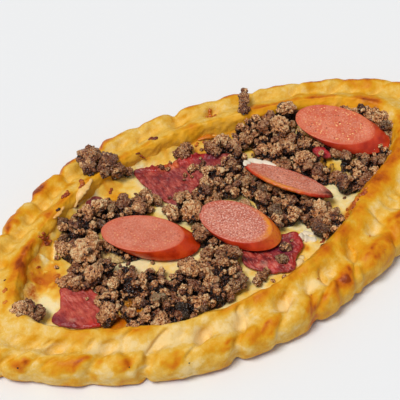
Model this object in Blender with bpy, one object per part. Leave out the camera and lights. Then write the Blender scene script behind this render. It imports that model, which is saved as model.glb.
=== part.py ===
# Meat manakish: a boat-shaped flatbread with a hand-crimped rim, filled with cheese and topped with
# minced beef, thin slices of cured meat and oblique slices of sausage.
#
# Lengths are millimetres, and a mesh is scaled to metres when it becomes an object. +X runs along the
# loaf, +Z is up, and the origin is under the middle of the loaf on the surface that it rests on.

import math
import random

import bmesh
import bpy
from mathutils import Matrix, Vector, geometry, noise

MM = 0.001
GAP = 0.35                       # air left between pieces that touch
BEEF_GAP = 0.42                  # the same where beef is trimmed, before it is thinned out
SHARP_ANGLE = math.radians(50.0)

# The loaf in plan: an ellipse whose radius is multiplied at evenly spaced stations, counter-clockwise
# from +X. The rim is the outer outline, and the ridge is the crest that looks down into the filling.
LOAF_HALF_SIZE = (148.0, 77.0)
LOAF_STATIONS = (1.013, 0.945, 0.908, 0.926, 0.989, 1.010, 0.966, 0.992,
                 1.012, 0.933, 0.923, 0.974, 0.992, 0.963, 0.982, 1.010)
RIDGE_HALF_SIZE = (117.0, 54.0)
RIDGE_STATIONS = (0.970, 0.968, 0.962, 0.962, 1.036, 1.062, 1.012, 0.993,
                  1.010, 0.975, 0.970, 1.025, 1.022, 0.926, 0.845, 0.920)

# Rows of the rim from its underside, over the top and down to the floor of the filling. Across is 1 at
# the outer outline and 0 on the ridge, then how far a fold pushes the row out and up.
RIM_ROWS = (
    # across, height, push out, push up
    (0.82, 0.0, 0.35, 0.0),
    (0.95, 2.2, 0.80, 0.0),
    (1.00, 7.0, 1.00, 0.0),
    (0.98, 12.5, 1.00, 0.4),
    (0.86, 17.0, 0.70, 1.0),
    (0.66, 18.9, 0.30, 1.0),
    (0.43, 17.2, 0.10, 0.4),
    (0.20, 19.4, 0.05, 0.1),
    (0.00, 21.2, 0.00, 0.0),
    (-0.07, 19.6, 0.00, 0.0),
    (-0.14, 14.5, 0.00, 0.0),
    (-0.22, 9.5, 0.00, 0.0),
    (-0.40, 6.0, 0.00, 0.0),
)

# Creases between the finger folds of the rim: arc length along the loaf's outline, and strength. A fold
# swells slowly and ends in a steep crease.
CREASES = (
    (3.0, 0.6), (28.0, 0.5), (55.5, 0.4), (81.2, 0.6), (109.3, 0.7), (130.5, 0.5), (155.1, 0.7),
    (179.0, 0.5), (204.3, 0.9), (231.0, 0.7), (254.0, 0.9), (279.0, 0.6), (302.0, 0.7), (326.0, 0.8),
    (351.0, 0.6), (375.9, 0.8), (390.3, 0.6), (418.7, 0.9), (445.4, 1.0), (468.0, 0.4), (489.6, 1.0),
    (515.0, 0.4), (533.7, 0.9), (552.0, 0.6), (569.2, 0.8), (594.0, 0.6), (618.0, 0.8), (643.0, 0.6),
    (666.0, 0.8), (690.0, 0.6),
)
FOLD_STEPS = (0.0, 0.2, 0.45, 0.7, 0.92)
FOLD_RISE = 4.5                  # arc length over which a fold swells after a crease
FOLD_DROP = 2.2                  # arc length over which it falls into the next one
FOLD_PUSH_OUT = 2.6
FOLD_PUSH_UP = 2.8
FOLD_MEAN = 0.8
FOLD_SLANT = 9.5                 # how much further round a crease is on the ridge than on the outline
DIMPLE_DEPTH = 2.6
DIMPLE_ACROSS = 0.43
DIMPLE_LENGTH = 3.4
DIMPLE_WIDTH = 0.16
LUMP_HEIGHT = 0.9
LUMP_SIZE = 17.0

CHEESE_COLUMNS = 44
CHEESE_SIDE = ((6.0 + GAP, 1.4), (8.0, 0.8), (9.3, 0.9))   # height, and clearance from the wall
CHEESE_TOP = 10.0
CHEESE_DIP = 0.5                 # how far the surface falls in its hollows
CHEESE_CLEARANCE = 1.2
CHEESE_SHARES = (0.93, 0.62, 0.3)                          # sizes of the rings of the upper surface

# Sausage slices: middle of the upper face, heading of its long axis, half sizes, thickness, how far
# the oblique cut carries the lower face along the long axis, and the tilt away from the near side.
SAUSAGES = {
    "sausage_1": dict(middle=(-42.5, 9.2, 18.5), heading=-39.2, half=(21.0, 11.7), thick=6.6,
                      slide=8.6, tilt=0.0),
    "sausage_2": dict(middle=(0.1, -10.6, 19.0), heading=-58.0, half=(19.4, 12.6), thick=4.4,
                      slide=5.8, tilt=0.0),
    "sausage_3": dict(middle=(81.6, 13.6, 20.0), heading=-53.2, half=(21.8, 13.4), thick=5.4,
                      slide=7.2, tilt=0.0),
    "sausage_4": dict(middle=(39.2, -2.5, 18.7), heading=-60.0, half=(24.4, 10.8), thick=2.0,
                      slide=0.6, tilt=26.0),
}
SAUSAGE_SIDES = 28
SAUSAGE_EDGE = 0.5

# Cured meat: outline in plan, height of the lower face, thickness, and height of its waves.
CURED_SLICES = {
    "cured_slice_1": dict(outline=((-22, 51.4), (-12, 48), (-4, 46), (6, 45.5), (15, 41), (22, 36),
                                   (28, 32), (19, 28), (10, 24), (2, 23.5), (-8, 20), (-15, 18.5),
                                   (-20, 27), (-23, 40)),
                          bottom=CHEESE_TOP + GAP, thick=1.6, wave=1.5),
    "cured_slice_2": dict(outline=((-96, 8), (-90, 7), (-84, 4), (-79, 0), (-78, -9), (-82, -16),
                                   (-85, -23), (-91, -22), (-98, -17.5), (-104, -11), (-105, -5),
                                   (-99, -1)),
                          bottom=CHEESE_TOP + GAP, thick=1.6, wave=1.5),
    "cured_slice_3": dict(outline=((-9, -31), (-5, -24), (2, -22), (14, -26), (24, -30), (23.5, -36),
                                   (18, -41), (11, -45.5), (2, -44), (-5, -39)),
                          bottom=CHEESE_TOP + GAP, thick=1.6, wave=1.5),
    "cured_slice_4": dict(outline=((64, 10), (69, 10), (71, 4), (69, 0), (64, 3)),
                          bottom=12.6, thick=1.3, wave=0.5),
    "cured_slice_5": dict(outline=((-56, 40), (-54, 45.5), (-48, 46), (-45, 42), (-48, 37), (-53, 36)),
                          bottom=13.2, thick=1.3, wave=0.5),
}
CURED_MESH_STEP = 7.0
CURED_WAVE_LENGTH = 13.0

# The minced beef's core: low domes at x, y, with half sizes in X and Y, and the height of the top.
BEEF_BASE = 10.6
BEEF_DOMES = (
    (-71, 24, 11, 13, 15.0), (-73, 8, 12, 10, 15.0), (-62, 33, 11, 8, 14.5), (-50, 37, 10, 8, 14.0),
    (-36, 29, 12, 7, 14.0), (-82, 2, 7, 5, 13.5), (-67, -8, 12, 9, 14.5), (-79, -19, 8, 6, 13.5),
    (-58, -15, 14, 8, 14.0), (-50, -27, 17, 11, 15.0), (-67, -32, 8, 6, 13.0), (-52, -39, 14, 6, 13.5),
    (-32, -37, 15, 9, 14.5), (-33, -24, 14, 9, 15.0), (-18, -24, 9, 12, 15.0), (-15, -5, 7, 8, 14.0),
    (-14, 14, 11, 6, 13.5), (4, 17, 13, 8, 14.5), (21, 24, 11, 10, 14.5), (28, 38, 7, 5, 14.0),
    (42, 36, 10, 7, 15.0), (57, 37, 13, 7, 15.5), (69, 36, 8, 6, 15.0), (50, 24, 15, 11, 15.5),
    (61, 10, 10, 14, 14.0), (26, 7, 9, 15, 14.5), (27, -12, 12, 13, 14.5), (40, -25, 9, 13, 15.0),
    (40, -36, 6, 4, 13.5), (58, -4, 9, 9, 14.5), (74, -14, 13, 7, 14.5), (90, -10, 11, 6, 14.5),
    (67, -21, 5, 4, 13.0), (104, 18, 7, 9, 14.5), (107, 3, 6, 9, 14.0),
)
# Domes under the sausage slices, which are trimmed to carry them.
BEEF_RESTS = (
    (-48, 13, 19, 13, 13.5), (-36, 3, 13, 9, 13.0), (0, -12, 17, 14, 17.5), (88, 11, 21, 17, 17.5),
    (35, 5, 7, 8, 17.5), (40, -5, 7, 8, 17.5), (45, -14, 6, 6, 17.0), (47, 3, 10, 14, 13.5),
)
DOME_SIDES = 8
DOME_RINGS = 4
DOME_DEPTH = 4.0

# Crumbs of beef fused on the core, largest first: radius, number, and how rough the ball is.
CRUMB_SIZES = ((4.8, 14, 2), (4.2, 34, 1), (3.2, 46, 1))
CRUMB_SPACING = 0.78
CRUMB_ROUGHNESS = 0.22
CRUMB_LIFT = 0.25
CRUMB_OVERHANG = 0.35            # share of a crumb's radius that keeps its middle off a sausage slice
CRUMB_SEED = 11
BEEF_DETAIL = 0.62               # share of the fused triangles that is kept
CORNER_LIMIT = 1.6               # most that a corner moves, in gaps, where a trimming shape is swollen

# Clumps of beef that lie apart: balls of x, y, z and radius.
BEEF_CLUMPS = {
    "beef_clump_1": ((-39.8, 64.3, 23.5, 5.6), (-42.5, 59.5, 21.5, 4.8), (-33.5, 57.0, 20.5, 4.8),
                     (-37.0, 55.0, 18.5, 4.4), (-30.2, 52.6, 17.0, 4.2), (-25.2, 50.8, 14.0, 3.2)),
    "beef_clump_2": ((-111.5, 2.2, 15.0, 4.8), (-107.8, -1.6, 13.6, 4.2), (-115.0, -0.8, 15.0, 3.6),
                     (-112.4, -4.2, 14.0, 3.2)),
    "beef_clump_3": ((7.3, 46.4, 14.0, 3.8), (4.4, 47.4, 13.6, 2.8), (10.0, 47.0, 14.2, 2.9)),
    "beef_clump_4": ((46.6, 47.8, 22.4, 3.5), (48.6, 50.6, 23.6, 3.3), (50.4, 53.2, 25.0, 2.9),
                     (51.9, 55.4, 26.4, 2.2)),
    "beef_clump_5": ((12.8, -34.5, 14.0, 3.2), (15.4, -36.0, 13.6, 2.4)),
    "beef_clump_6": ((-10.0, -43.6, 12.4, 2.7), (-6.4, -42.3, 12.8, 2.9), (-2.9, -41.6, 13.0, 2.4)),
}
CLUMP_ROUGHNESS = 0.2


def clear_scene():
    for item in list(bpy.data.objects):
        bpy.data.objects.remove(item, do_unlink=True)


def make_material(name, color, roughness):
    material = bpy.data.materials.new(name)
    material.use_nodes = True
    shader = material.node_tree.nodes["Principled BSDF"]
    shader.inputs["Base Color"].default_value = (*color, 1.0)
    shader.inputs["Roughness"].default_value = roughness
    shader.inputs["Metallic"].default_value = 0.0
    material.diffuse_color = (*color, 1.0)
    return material


def make_object(name, shape, material):
    """Turn a bmesh in millimetres into an object in metres."""
    bmesh.ops.scale(shape, vec=(MM, MM, MM), verts=shape.verts)
    bmesh.ops.recalc_face_normals(shape, faces=shape.faces)
    mesh = bpy.data.meshes.new(name)
    shape.to_mesh(mesh)
    shape.free()
    mesh.shade_smooth()
    mesh.set_sharp_from_angle(angle=SHARP_ANGLE)
    mesh.materials.append(material)
    item = bpy.data.objects.new(name, mesh)
    bpy.context.scene.collection.objects.link(item)
    return item


def loft(rings):
    """Skin a stack of closed rings of points, extruding each ring from the one before it."""
    shape = bmesh.new()
    ring = bmesh.ops.create_circle(shape, segments=len(rings[0]), radius=1.0)["verts"]
    edges = shape.edges[:]
    place(ring, rings[0])
    shape.faces.new(ring)
    for points in rings[1:]:
        made = bmesh.ops.extrude_edge_only(shape, edges=edges)["geom"]
        fresh = {item for item in made if isinstance(item, bmesh.types.BMVert)}
        ring = [next(edge.other_vert(vert) for edge in vert.link_edges if edge.other_vert(vert) in fresh)
                for vert in ring]
        edges = [item for item in made
                 if isinstance(item, bmesh.types.BMEdge) and set(item.verts) <= fresh]
        place(ring, points)
    shape.faces.new(ring)
    return shape


def place(verts, points):
    for vert, point in zip(verts, points):
        vert.co = point


def blend_stations(stations, turn):
    """Smooth curve through evenly spaced values round a closed outline; turn runs from 0 to 1."""
    count = len(stations)
    spot = (turn % 1.0) * count
    index = int(spot)
    part = spot - index
    before, here, after, beyond = (stations[(index + step) % count] for step in (-1, 0, 1, 2))
    return here + 0.5 * part * (after - before + part * (2 * before - 5 * here + 4 * after - beyond
                                                         + part * (3 * (here - after) + beyond - before)))


def outline_point(half_size, stations, turn):
    radius = blend_stations(stations, turn)
    angle = math.tau * turn
    return Vector((half_size[0] * radius * math.cos(angle), half_size[1] * radius * math.sin(angle), 0.0))


def measure_outline(samples=1440):
    """Arc length along the loaf's outline at evenly spaced turns."""
    lengths = [0.0]
    last = outline_point(LOAF_HALF_SIZE, LOAF_STATIONS, 0.0)
    for index in range(1, samples + 1):
        point = outline_point(LOAF_HALF_SIZE, LOAF_STATIONS, index / samples)
        lengths.append(lengths[-1] + (point - last).length)
        last = point
    return lengths


OUTLINE_LENGTHS = measure_outline()
PERIMETER = OUTLINE_LENGTHS[-1]


def turn_at(length):
    """Turn of the outline at an arc length."""
    length %= PERIMETER
    low, high = 0, len(OUTLINE_LENGTHS) - 1
    while high - low > 1:
        middle = (low + high) // 2
        if OUTLINE_LENGTHS[middle] <= length:
            low = middle
        else:
            high = middle
    part = (length - OUTLINE_LENGTHS[low]) / (OUTLINE_LENGTHS[high] - OUTLINE_LENGTHS[low])
    return (low + part) / (len(OUTLINE_LENGTHS) - 1)


def rim_columns():
    """Arc length, swell and strength of the dimple of each column of the rim, fold by fold."""
    columns = []
    for (start, strength), (end, next_strength) in zip(CREASES, CREASES[1:] + CREASES[:1]):
        span = (end - start) % PERIMETER
        for step in FOLD_STEPS:
            after, before = step * span, (1.0 - step) * span
            swell = (1.0 - strength * math.exp(-after / FOLD_RISE)
                     - next_strength * math.exp(-(before / FOLD_DROP) ** 2))
            dimple = math.exp(-(min(after, before) / DIMPLE_LENGTH) ** 2)
            columns.append((start + after, swell, dimple))
    return columns


def rim_place(length, across):
    """Spot across the rim at an arc length, and the direction that points out of the loaf there."""
    turn = turn_at(length + FOLD_SLANT * (1.0 - max(across, 0.0)))
    outer = outline_point(LOAF_HALF_SIZE, LOAF_STATIONS, turn)
    ridge = outline_point(RIDGE_HALF_SIZE, RIDGE_STATIONS, turn)
    return ridge + (outer - ridge) * across, (outer - ridge).normalized()


def rim_point(column, row):
    length, swell, dimple = column
    across, height, push_out, push_up = row
    spot, outward = rim_place(length, across)
    lean = swell - FOLD_MEAN
    dip = DIMPLE_DEPTH * dimple * math.exp(-((across - DIMPLE_ACROSS) / DIMPLE_WIDTH) ** 2)
    lump = noise.noise(spot / LUMP_SIZE) * LUMP_HEIGHT * min(1.0, height / 12.0) * (across >= 0.0)
    spot = spot + outward * FOLD_PUSH_OUT * push_out * lean
    spot.z = height + FOLD_PUSH_UP * push_up * lean - dip + lump
    return spot


def build_crust(material):
    columns = rim_columns()
    rings = [[rim_point(column, row) for column in columns] for row in RIM_ROWS]
    return make_object("crust", loft(rings), material)


def wall_across(height):
    """How far inside the ridge the wall round the filling is at a height."""
    wall = [row[:2] for row in RIM_ROWS if row[0] <= 0.0]
    for (across, top), (further, bottom) in zip(wall, wall[1:]):
        if bottom <= height <= top:
            return across + (further - across) * (top - height) / (top - bottom)
    return wall[-1][0]


def filling_ring(height, clearance, share=1.0, dip=0.0):
    """Ring inside the wall round the filling, drawn in to a share of its size."""
    ring = []
    for column in range(CHEESE_COLUMNS):
        length = PERIMETER * column / CHEESE_COLUMNS
        spot, outward = rim_place(length, wall_across(height))
        spot = (spot - outward * clearance) * share
        spot.z = height + dip * noise.noise(spot / LUMP_SIZE)
        ring.append(spot)
    return ring


def build_cheese(material):
    rings = [filling_ring(height, clearance) for height, clearance in CHEESE_SIDE]
    rings += [filling_ring(CHEESE_TOP - CHEESE_DIP / 2, CHEESE_CLEARANCE, share, CHEESE_DIP / 2)
              for share in CHEESE_SHARES]
    return make_object("cheese", loft(rings), material)


def sausage_ring(slab, down, shrink):
    """Ring of a slice at a depth below its upper face, shrunk a little at the edges."""
    heading = math.radians(slab["heading"])
    tilt = math.radians(slab["tilt"])
    along = Vector((math.cos(heading), math.sin(heading), 0.0))
    level = Vector((-math.sin(heading), math.cos(heading), 0.0))
    side = level * math.cos(tilt) - Vector((0.0, 0.0, math.sin(tilt)))
    normal = along.cross(side)
    slide = slab["slide"] * down / slab["thick"]
    ring = []
    for index in range(SAUSAGE_SIDES):
        angle = math.tau * index / SAUSAGE_SIDES
        ring.append(Vector(slab["middle"]) - normal * down
                    + along * ((slab["half"][0] - shrink) * math.cos(angle) + slide)
                    + side * (slab["half"][1] - shrink) * math.sin(angle))
    return ring


def build_sausage(name, slab, material):
    depths = ((0.0, SAUSAGE_EDGE), (SAUSAGE_EDGE, 0.0),
              (slab["thick"] - SAUSAGE_EDGE, 0.0), (slab["thick"], SAUSAGE_EDGE))
    return make_object(name, loft([sausage_ring(slab, down, shrink) for down, shrink in depths]), material)


def inside(point, outline):
    """Whether a point lies inside an outline in plan."""
    crossings = 0
    for (x1, y1), (x2, y2) in zip(outline, outline[1:] + outline[:1]):
        if (y1 > point[1]) != (y2 > point[1]):
            crossings += point[0] < x1 + (x2 - x1) * (point[1] - y1) / (y2 - y1)
    return crossings % 2 == 1


def edge_distance(point, outline):
    distances = []
    for start, end in zip(outline, outline[1:] + outline[:1]):
        nearest, part = geometry.intersect_point_line(point, start, end)
        nearest = Vector(start) if part < 0.0 else Vector(end) if part > 1.0 else nearest
        distances.append((nearest - Vector(point)).length)
    return min(distances)


def cured_wave(x, y, wave):
    return wave * max(0.0, 0.35 + noise.noise(Vector((x, y, 3.0)) / CURED_WAVE_LENGTH))


def build_cured_slice(name, piece, material):
    """Thin wavy slice: a triangulated outline, lifted into waves and given its thickness."""
    outline = piece["outline"]
    xs, ys = zip(*outline)
    spots = [Vector(point) for point in outline]
    rows = int((max(ys) - min(ys)) / CURED_MESH_STEP) + 1
    steps = int((max(xs) - min(xs)) / CURED_MESH_STEP) + 1
    for row in range(rows):
        for step in range(steps):
            point = (min(xs) + (step + 0.25 + 0.5 * (row % 2)) * CURED_MESH_STEP,
                     min(ys) + (row + 0.5) * CURED_MESH_STEP)
            if inside(point, outline) and edge_distance(point, outline) > CURED_MESH_STEP * 0.4:
                spots.append(Vector(point))
    count = len(outline)
    border = [(index, (index + 1) % count) for index in range(count)]
    flat, _, faces, *_ = geometry.delaunay_2d_cdt(spots, border, [], 1, 1e-4)
    shape = bmesh.new()
    verts = [shape.verts.new((x, y, piece["bottom"] + cured_wave(x, y, piece["wave"]))) for x, y in flat]
    for face in faces:
        shape.faces.new([verts[index] for index in face])
    made = bmesh.ops.extrude_face_region(shape, geom=shape.faces[:])["geom"]
    top = [item for item in made if isinstance(item, bmesh.types.BMVert)]
    bmesh.ops.translate(shape, vec=(0.0, 0.0, piece["thick"]), verts=top)
    return make_object(name, shape, material)


def dome(x, y, half_x, half_y, top):
    """Flattened ball whose upper half stands on the base of the beef."""
    shape = bmesh.new()
    bmesh.ops.create_uvsphere(shape, u_segments=DOME_SIDES, v_segments=DOME_RINGS, radius=1.0)
    for vert in shape.verts:
        rise = (top - BEEF_BASE) if vert.co.z > 0.0 else DOME_DEPTH
        vert.co = Vector((x + vert.co.x * half_x, y + vert.co.y * half_y, BEEF_BASE + vert.co.z * rise))
    return shape


def crumb(place_at, radius, detail, roughness, rng):
    """Rough ball of beef."""
    shape = bmesh.new()
    bmesh.ops.create_icosphere(shape, subdivisions=detail, radius=radius)
    turn = Matrix.Rotation(rng.uniform(0.0, math.tau), 4, Vector((rng.random(), rng.random(), 1.0)))
    bmesh.ops.rotate(shape, matrix=turn, verts=shape.verts)
    for vert in shape.verts:
        vert.co = vert.co * rng.uniform(1.0 - roughness, 1.0 + roughness) + Vector(place_at)
    return shape


def core_height(x, y):
    """Height of the bare core at a spot, or None off it."""
    heights = [BEEF_BASE + (top - BEEF_BASE) * math.sqrt(1.0 - reach)
               for px, py, half_x, half_y, top in BEEF_DOMES
               if (reach := ((x - px) / half_x) ** 2 + ((y - py) / half_y) ** 2) < 1.0]
    return max(heights, default=None)


def over_topping(x, y, radius):
    """Whether a crumb's middle would be over a sausage slice or well inside a slice of cured meat."""
    for slab in SAUSAGES.values():
        heading = math.radians(slab["heading"])
        for slide in (0.0, slab["slide"]):
            away = (Vector((x, y)) - Vector(slab["middle"][:2])
                    - Vector((math.cos(heading), math.sin(heading))) * slide)
            along = away.x * math.cos(heading) + away.y * math.sin(heading)
            side = away.y * math.cos(heading) - away.x * math.sin(heading)
            reach_along, reach_side = (half + radius * CRUMB_OVERHANG for half in slab["half"])
            if (along / reach_along) ** 2 + (side / reach_side) ** 2 < 1.0:
                return True
    return any(inside((x, y), piece["outline"]) for piece in CURED_SLICES.values())


def scatter_crumbs(rng):
    """Crumbs over the core, the largest first, each clear of the middles of those before it."""
    crumbs = []
    for radius, number, detail in CRUMB_SIZES:
        placed = 0
        for _ in range(number * 60):
            if placed == number:
                break
            px, py, half_x, half_y, _ = rng.choice(BEEF_DOMES)
            angle, reach = rng.uniform(0.0, math.tau), math.sqrt(rng.random())
            x, y = px + half_x * reach * math.cos(angle), py + half_y * reach * math.sin(angle)
            size = radius * rng.uniform(0.85, 1.15)
            crowded = any(math.hypot(x - other[0], y - other[1]) < CRUMB_SPACING * (size + other[3])
                          for other in crumbs)
            if crowded or over_topping(x, y, size):
                continue
            crumbs.append((x, y, core_height(x, y) + size * CRUMB_LIFT, size, detail))
            placed += 1
    return crumbs


def hide_as_tool(item):
    item.hide_render = True
    item.display_type = "WIRE"


def combine(item, shapes, operation):
    """Join shapes to an object, or cut them out of it, in one Boolean on a collection."""
    tools = bpy.data.collections.new(item.name + "_tools")
    bpy.context.scene.collection.children.link(tools)
    for shape in shapes:
        bmesh.ops.scale(shape, vec=(MM, MM, MM), verts=shape.verts)
        mesh = bpy.data.meshes.new("tool")
        shape.to_mesh(mesh)
        shape.free()
        tool = bpy.data.objects.new("tool", mesh)
        tools.objects.link(tool)
        hide_as_tool(tool)
    boolean = item.modifiers.new(operation.lower(), "BOOLEAN")
    boolean.operation = operation
    boolean.solver = "EXACT"
    boolean.operand_type = "COLLECTION"
    boolean.collection = tools
    ready = item.evaluated_get(bpy.context.evaluated_depsgraph_get())
    mesh = bpy.data.meshes.new_from_object(ready)
    item.modifiers.clear()
    item.data = mesh
    for tool in list(tools.objects):
        bpy.data.objects.remove(tool, do_unlink=True)
    bpy.data.collections.remove(tools)


def swollen(item, amount):
    """Copy of an object's shape, in millimetres, with each face moved outwards by about that amount."""
    shape = bmesh.new()
    shape.from_mesh(item.data)
    bmesh.ops.scale(shape, vec=(1 / MM, 1 / MM, 1 / MM), verts=shape.verts)
    bmesh.ops.recalc_face_normals(shape, faces=shape.faces)
    moves = [vert.normal * amount * min(vert.calc_shell_factor(), CORNER_LIMIT) for vert in shape.verts]
    for vert, move in zip(shape.verts, moves):
        vert.co += move
    return shape


def islands(shape):
    """Groups of faces that hang together."""
    left = set(shape.faces)
    while left:
        group, queue = set(), [left.pop()]
        while queue:
            face = queue.pop()
            group.add(face)
            for edge in face.edges:
                for other in edge.link_faces:
                    if other in left:
                        left.remove(other)
                        queue.append(other)
        yield group


def keep_largest(item):
    """Drop loose scraps, and fill hollows that fusing sealed."""
    shape = bmesh.new()
    shape.from_mesh(item.data)
    groups = sorted(islands(shape), key=len, reverse=True)
    scraps = [face for group in groups[1:] for face in group]
    bmesh.ops.delete(shape, geom=scraps, context="FACES")
    bmesh.ops.triangulate(shape, faces=shape.faces)
    shape.to_mesh(item.data)
    shape.free()


def thin_out(item, share):
    """Collapse the shortest and flattest of an object's triangles, down to a share of them."""
    decimate = item.modifiers.new("thin out", "DECIMATE")
    decimate.ratio = share
    mesh = bpy.data.meshes.new_from_object(item.evaluated_get(bpy.context.evaluated_depsgraph_get()))
    item.modifiers.clear()
    item.data = mesh
    item.data.shade_smooth()
    item.data.set_sharp_from_angle(angle=SHARP_ANGLE)


def fuse_beef(name, shapes, obstacles, material):
    """Fuse lumps of beef into one body that keeps clear of what it touches."""
    item = make_object(name, shapes[0], material)
    combine(item, shapes[1:], "UNION")
    combine(item, [swollen(obstacle, BEEF_GAP) for obstacle in obstacles], "DIFFERENCE")
    keep_largest(item)
    thin_out(item, BEEF_DETAIL)
    return item


def build_beef_heap(obstacles, material):
    rng = random.Random(CRUMB_SEED)
    shapes = [dome(*values) for values in BEEF_DOMES + BEEF_RESTS]
    shapes += [crumb((x, y, z), size, detail, CRUMB_ROUGHNESS, rng)
               for x, y, z, size, detail in scatter_crumbs(rng)]
    return fuse_beef("beef_heap", shapes, obstacles, material)


def build_beef_clump(name, balls, obstacles, material):
    rng = random.Random(name)
    shapes = [crumb((x, y, z), radius, 2, CLUMP_ROUGHNESS, rng) for x, y, z, radius in balls]
    return fuse_beef(name, shapes, obstacles, material)


def main():
    clear_scene()
    crust = build_crust(make_material("baked dough", (0.62, 0.36, 0.12), 0.6))
    cheese = build_cheese(make_material("melted cheese", (0.78, 0.60, 0.30), 0.45))
    sausage_meat = make_material("sausage", (0.58, 0.17, 0.11), 0.4)
    cured_meat = make_material("cured meat", (0.40, 0.08, 0.07), 0.45)
    beef = make_material("minced beef", (0.20, 0.12, 0.08), 0.65)
    sausages = [build_sausage(name, slab, sausage_meat) for name, slab in SAUSAGES.items()]
    cured = [build_cured_slice(name, piece, cured_meat) for name, piece in CURED_SLICES.items()]
    laid = [crust, cheese, *sausages, *cured]
    heap = build_beef_heap(laid, beef)
    for name, balls in BEEF_CLUMPS.items():
        build_beef_clump(name, balls, [*laid, heap], beef)


main()
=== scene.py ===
import math
import random
from bisect import bisect_right

import bmesh
import bpy
from mathutils import Matrix, Vector, noise
from mathutils.bvhtree import BVHTree


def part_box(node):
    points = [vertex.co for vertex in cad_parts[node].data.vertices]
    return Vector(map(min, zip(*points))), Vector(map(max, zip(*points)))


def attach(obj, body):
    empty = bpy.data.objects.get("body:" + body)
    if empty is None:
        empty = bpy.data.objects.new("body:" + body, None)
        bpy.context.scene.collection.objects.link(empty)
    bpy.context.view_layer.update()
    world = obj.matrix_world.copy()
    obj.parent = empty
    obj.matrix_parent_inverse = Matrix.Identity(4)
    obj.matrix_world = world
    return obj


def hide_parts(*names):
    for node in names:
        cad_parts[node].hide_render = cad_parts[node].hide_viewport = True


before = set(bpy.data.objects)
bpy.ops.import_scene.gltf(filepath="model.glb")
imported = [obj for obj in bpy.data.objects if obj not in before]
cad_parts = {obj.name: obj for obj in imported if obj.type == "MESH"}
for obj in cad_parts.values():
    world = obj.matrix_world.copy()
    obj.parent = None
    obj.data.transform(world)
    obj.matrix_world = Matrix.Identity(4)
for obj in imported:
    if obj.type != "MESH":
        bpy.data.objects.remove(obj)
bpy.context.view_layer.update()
mm = 0.001               # shapes are worked in millimetres and scaled when they become a piece

# helpers shared by all pieces


def wrapSkin(columns, rows, place):
    # a grid rolled into a closed skin; place gives the spot for a share round and a share along
    skin = bmesh.new()
    bmesh.ops.create_grid(skin, x_segments=columns, y_segments=rows, size=1.0)
    around = skin.verts.layers.float.new("around")
    along = skin.verts.layers.float.new("along")
    for vert in skin.verts:
        vert[around] = round((vert.co.x + 1.0) / 2.0, 6) % 1.0
        vert[along] = (vert.co.y + 1.0) / 2.0
    for vert in skin.verts:
        vert.co = place(vert[around], vert[along])
    bmesh.ops.remove_doubles(skin, verts=skin.verts, dist=0.002)
    bmesh.ops.recalc_face_normals(skin, faces=skin.faces)
    skin.normal_update()
    return skin


def pushOut(skin, amount):
    # moves each vertex along its own normal by what amount says
    moves = [vert.normal * amount(vert) for vert in skin.verts]
    for vert, move in zip(skin.verts, moves):
        vert.co += move
    skin.normal_update()


def paint(skin, name, value):
    layer = skin.verts.layers.float.get(name) or skin.verts.layers.float.new(name)
    for vert in skin.verts:
        vert[layer] = value(vert)


def scaleAll(shape, factor):
    bmesh.ops.scale(shape, vec=(factor, factor, factor), verts=shape.verts)


def toMesh(shape, name):
    mesh = bpy.data.meshes.new(name)
    shape.to_mesh(mesh)
    shape.free()
    return mesh


def addItem(name, data):
    item = bpy.data.objects.new(name, data)
    bpy.context.scene.collection.objects.link(item)
    return item


def finishPiece(name, skin, material, nodes=()):
    scaleAll(skin, mm)
    mesh = toMesh(skin, name)
    mesh.shade_smooth()
    mesh.materials.append(material)
    piece = addItem(name, mesh)
    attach(piece, "root")
    if nodes:
        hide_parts(*nodes)
    return piece


def shapeOf(mesh):
    # a copy of a mesh to work on, in millimetres
    shape = bmesh.new()
    shape.from_mesh(mesh)
    scaleAll(shape, 1 / mm)
    return shape


def nodeShape(name):
    shape = shapeOf(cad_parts[name].data)
    bmesh.ops.remove_doubles(shape, verts=shape.verts, dist=0.01)
    return shape


def treeOf(shape):
    # for finding the nearest place on a shape, or what lies below a spot
    tree = BVHTree.FromBMesh(shape)
    shape.free()
    return tree


def smoothStep(low, high, value):
    share = min(1.0, max(0.0, (value - low) / (high - low)))
    return share * share * (3.0 - 2.0 * share)


def bell(value, middle, width):
    return math.exp(-((value - middle) / width) ** 2)


def layered(spot, layers):
    # noise in layers, each a size in millimetres and an amount
    return sum(amount * noise.noise(spot / size) for size, amount in layers)


def smoothRow(rows, spot):
    # Catmull-Rom through rows of numbers; spot counts rows from 0
    index = min(int(spot), len(rows) - 2)
    part = spot - index
    near = [rows[min(max(index + step, 0), len(rows) - 1)] for step in (-1, 0, 1, 2)]
    return [b + 0.5 * part * (c - a + part * (2 * a - 5 * b + 4 * c - d + part * (3 * (b - c) + d - a)))
            for a, b, c, d in zip(*near)]


# helpers for the materials


def addNode(tree, kind, inputs=None, **fields):
    node = tree.nodes.new(kind)
    for field, value in fields.items():
        setattr(node, field, value)
    for socket, value in (inputs or {}).items():
        if isinstance(value, bpy.types.NodeSocket):
            tree.links.new(value, node.inputs[socket])
        else:
            node.inputs[socket].default_value = value
    return node


def newMaterial(name, settings):
    material = bpy.data.materials.new(name)
    material.use_nodes = True
    shader = material.node_tree.nodes["Principled BSDF"]
    for socket, value in settings.items():
        shader.inputs[socket].default_value = value
    return material, material.node_tree, shader


def objectSpot(tree):
    return addNode(tree, "ShaderNodeTexCoord").outputs["Object"]


def cloud(tree, size, detail=3.0):
    # soft noise whose patches are about size millimetres across
    return addNode(tree, "ShaderNodeTexNoise", {
        "Vector": objectSpot(tree), "Scale": 1.0 / (size * mm), "Detail": detail, "Roughness": 0.55,
    }).outputs["Fac"]


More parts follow.
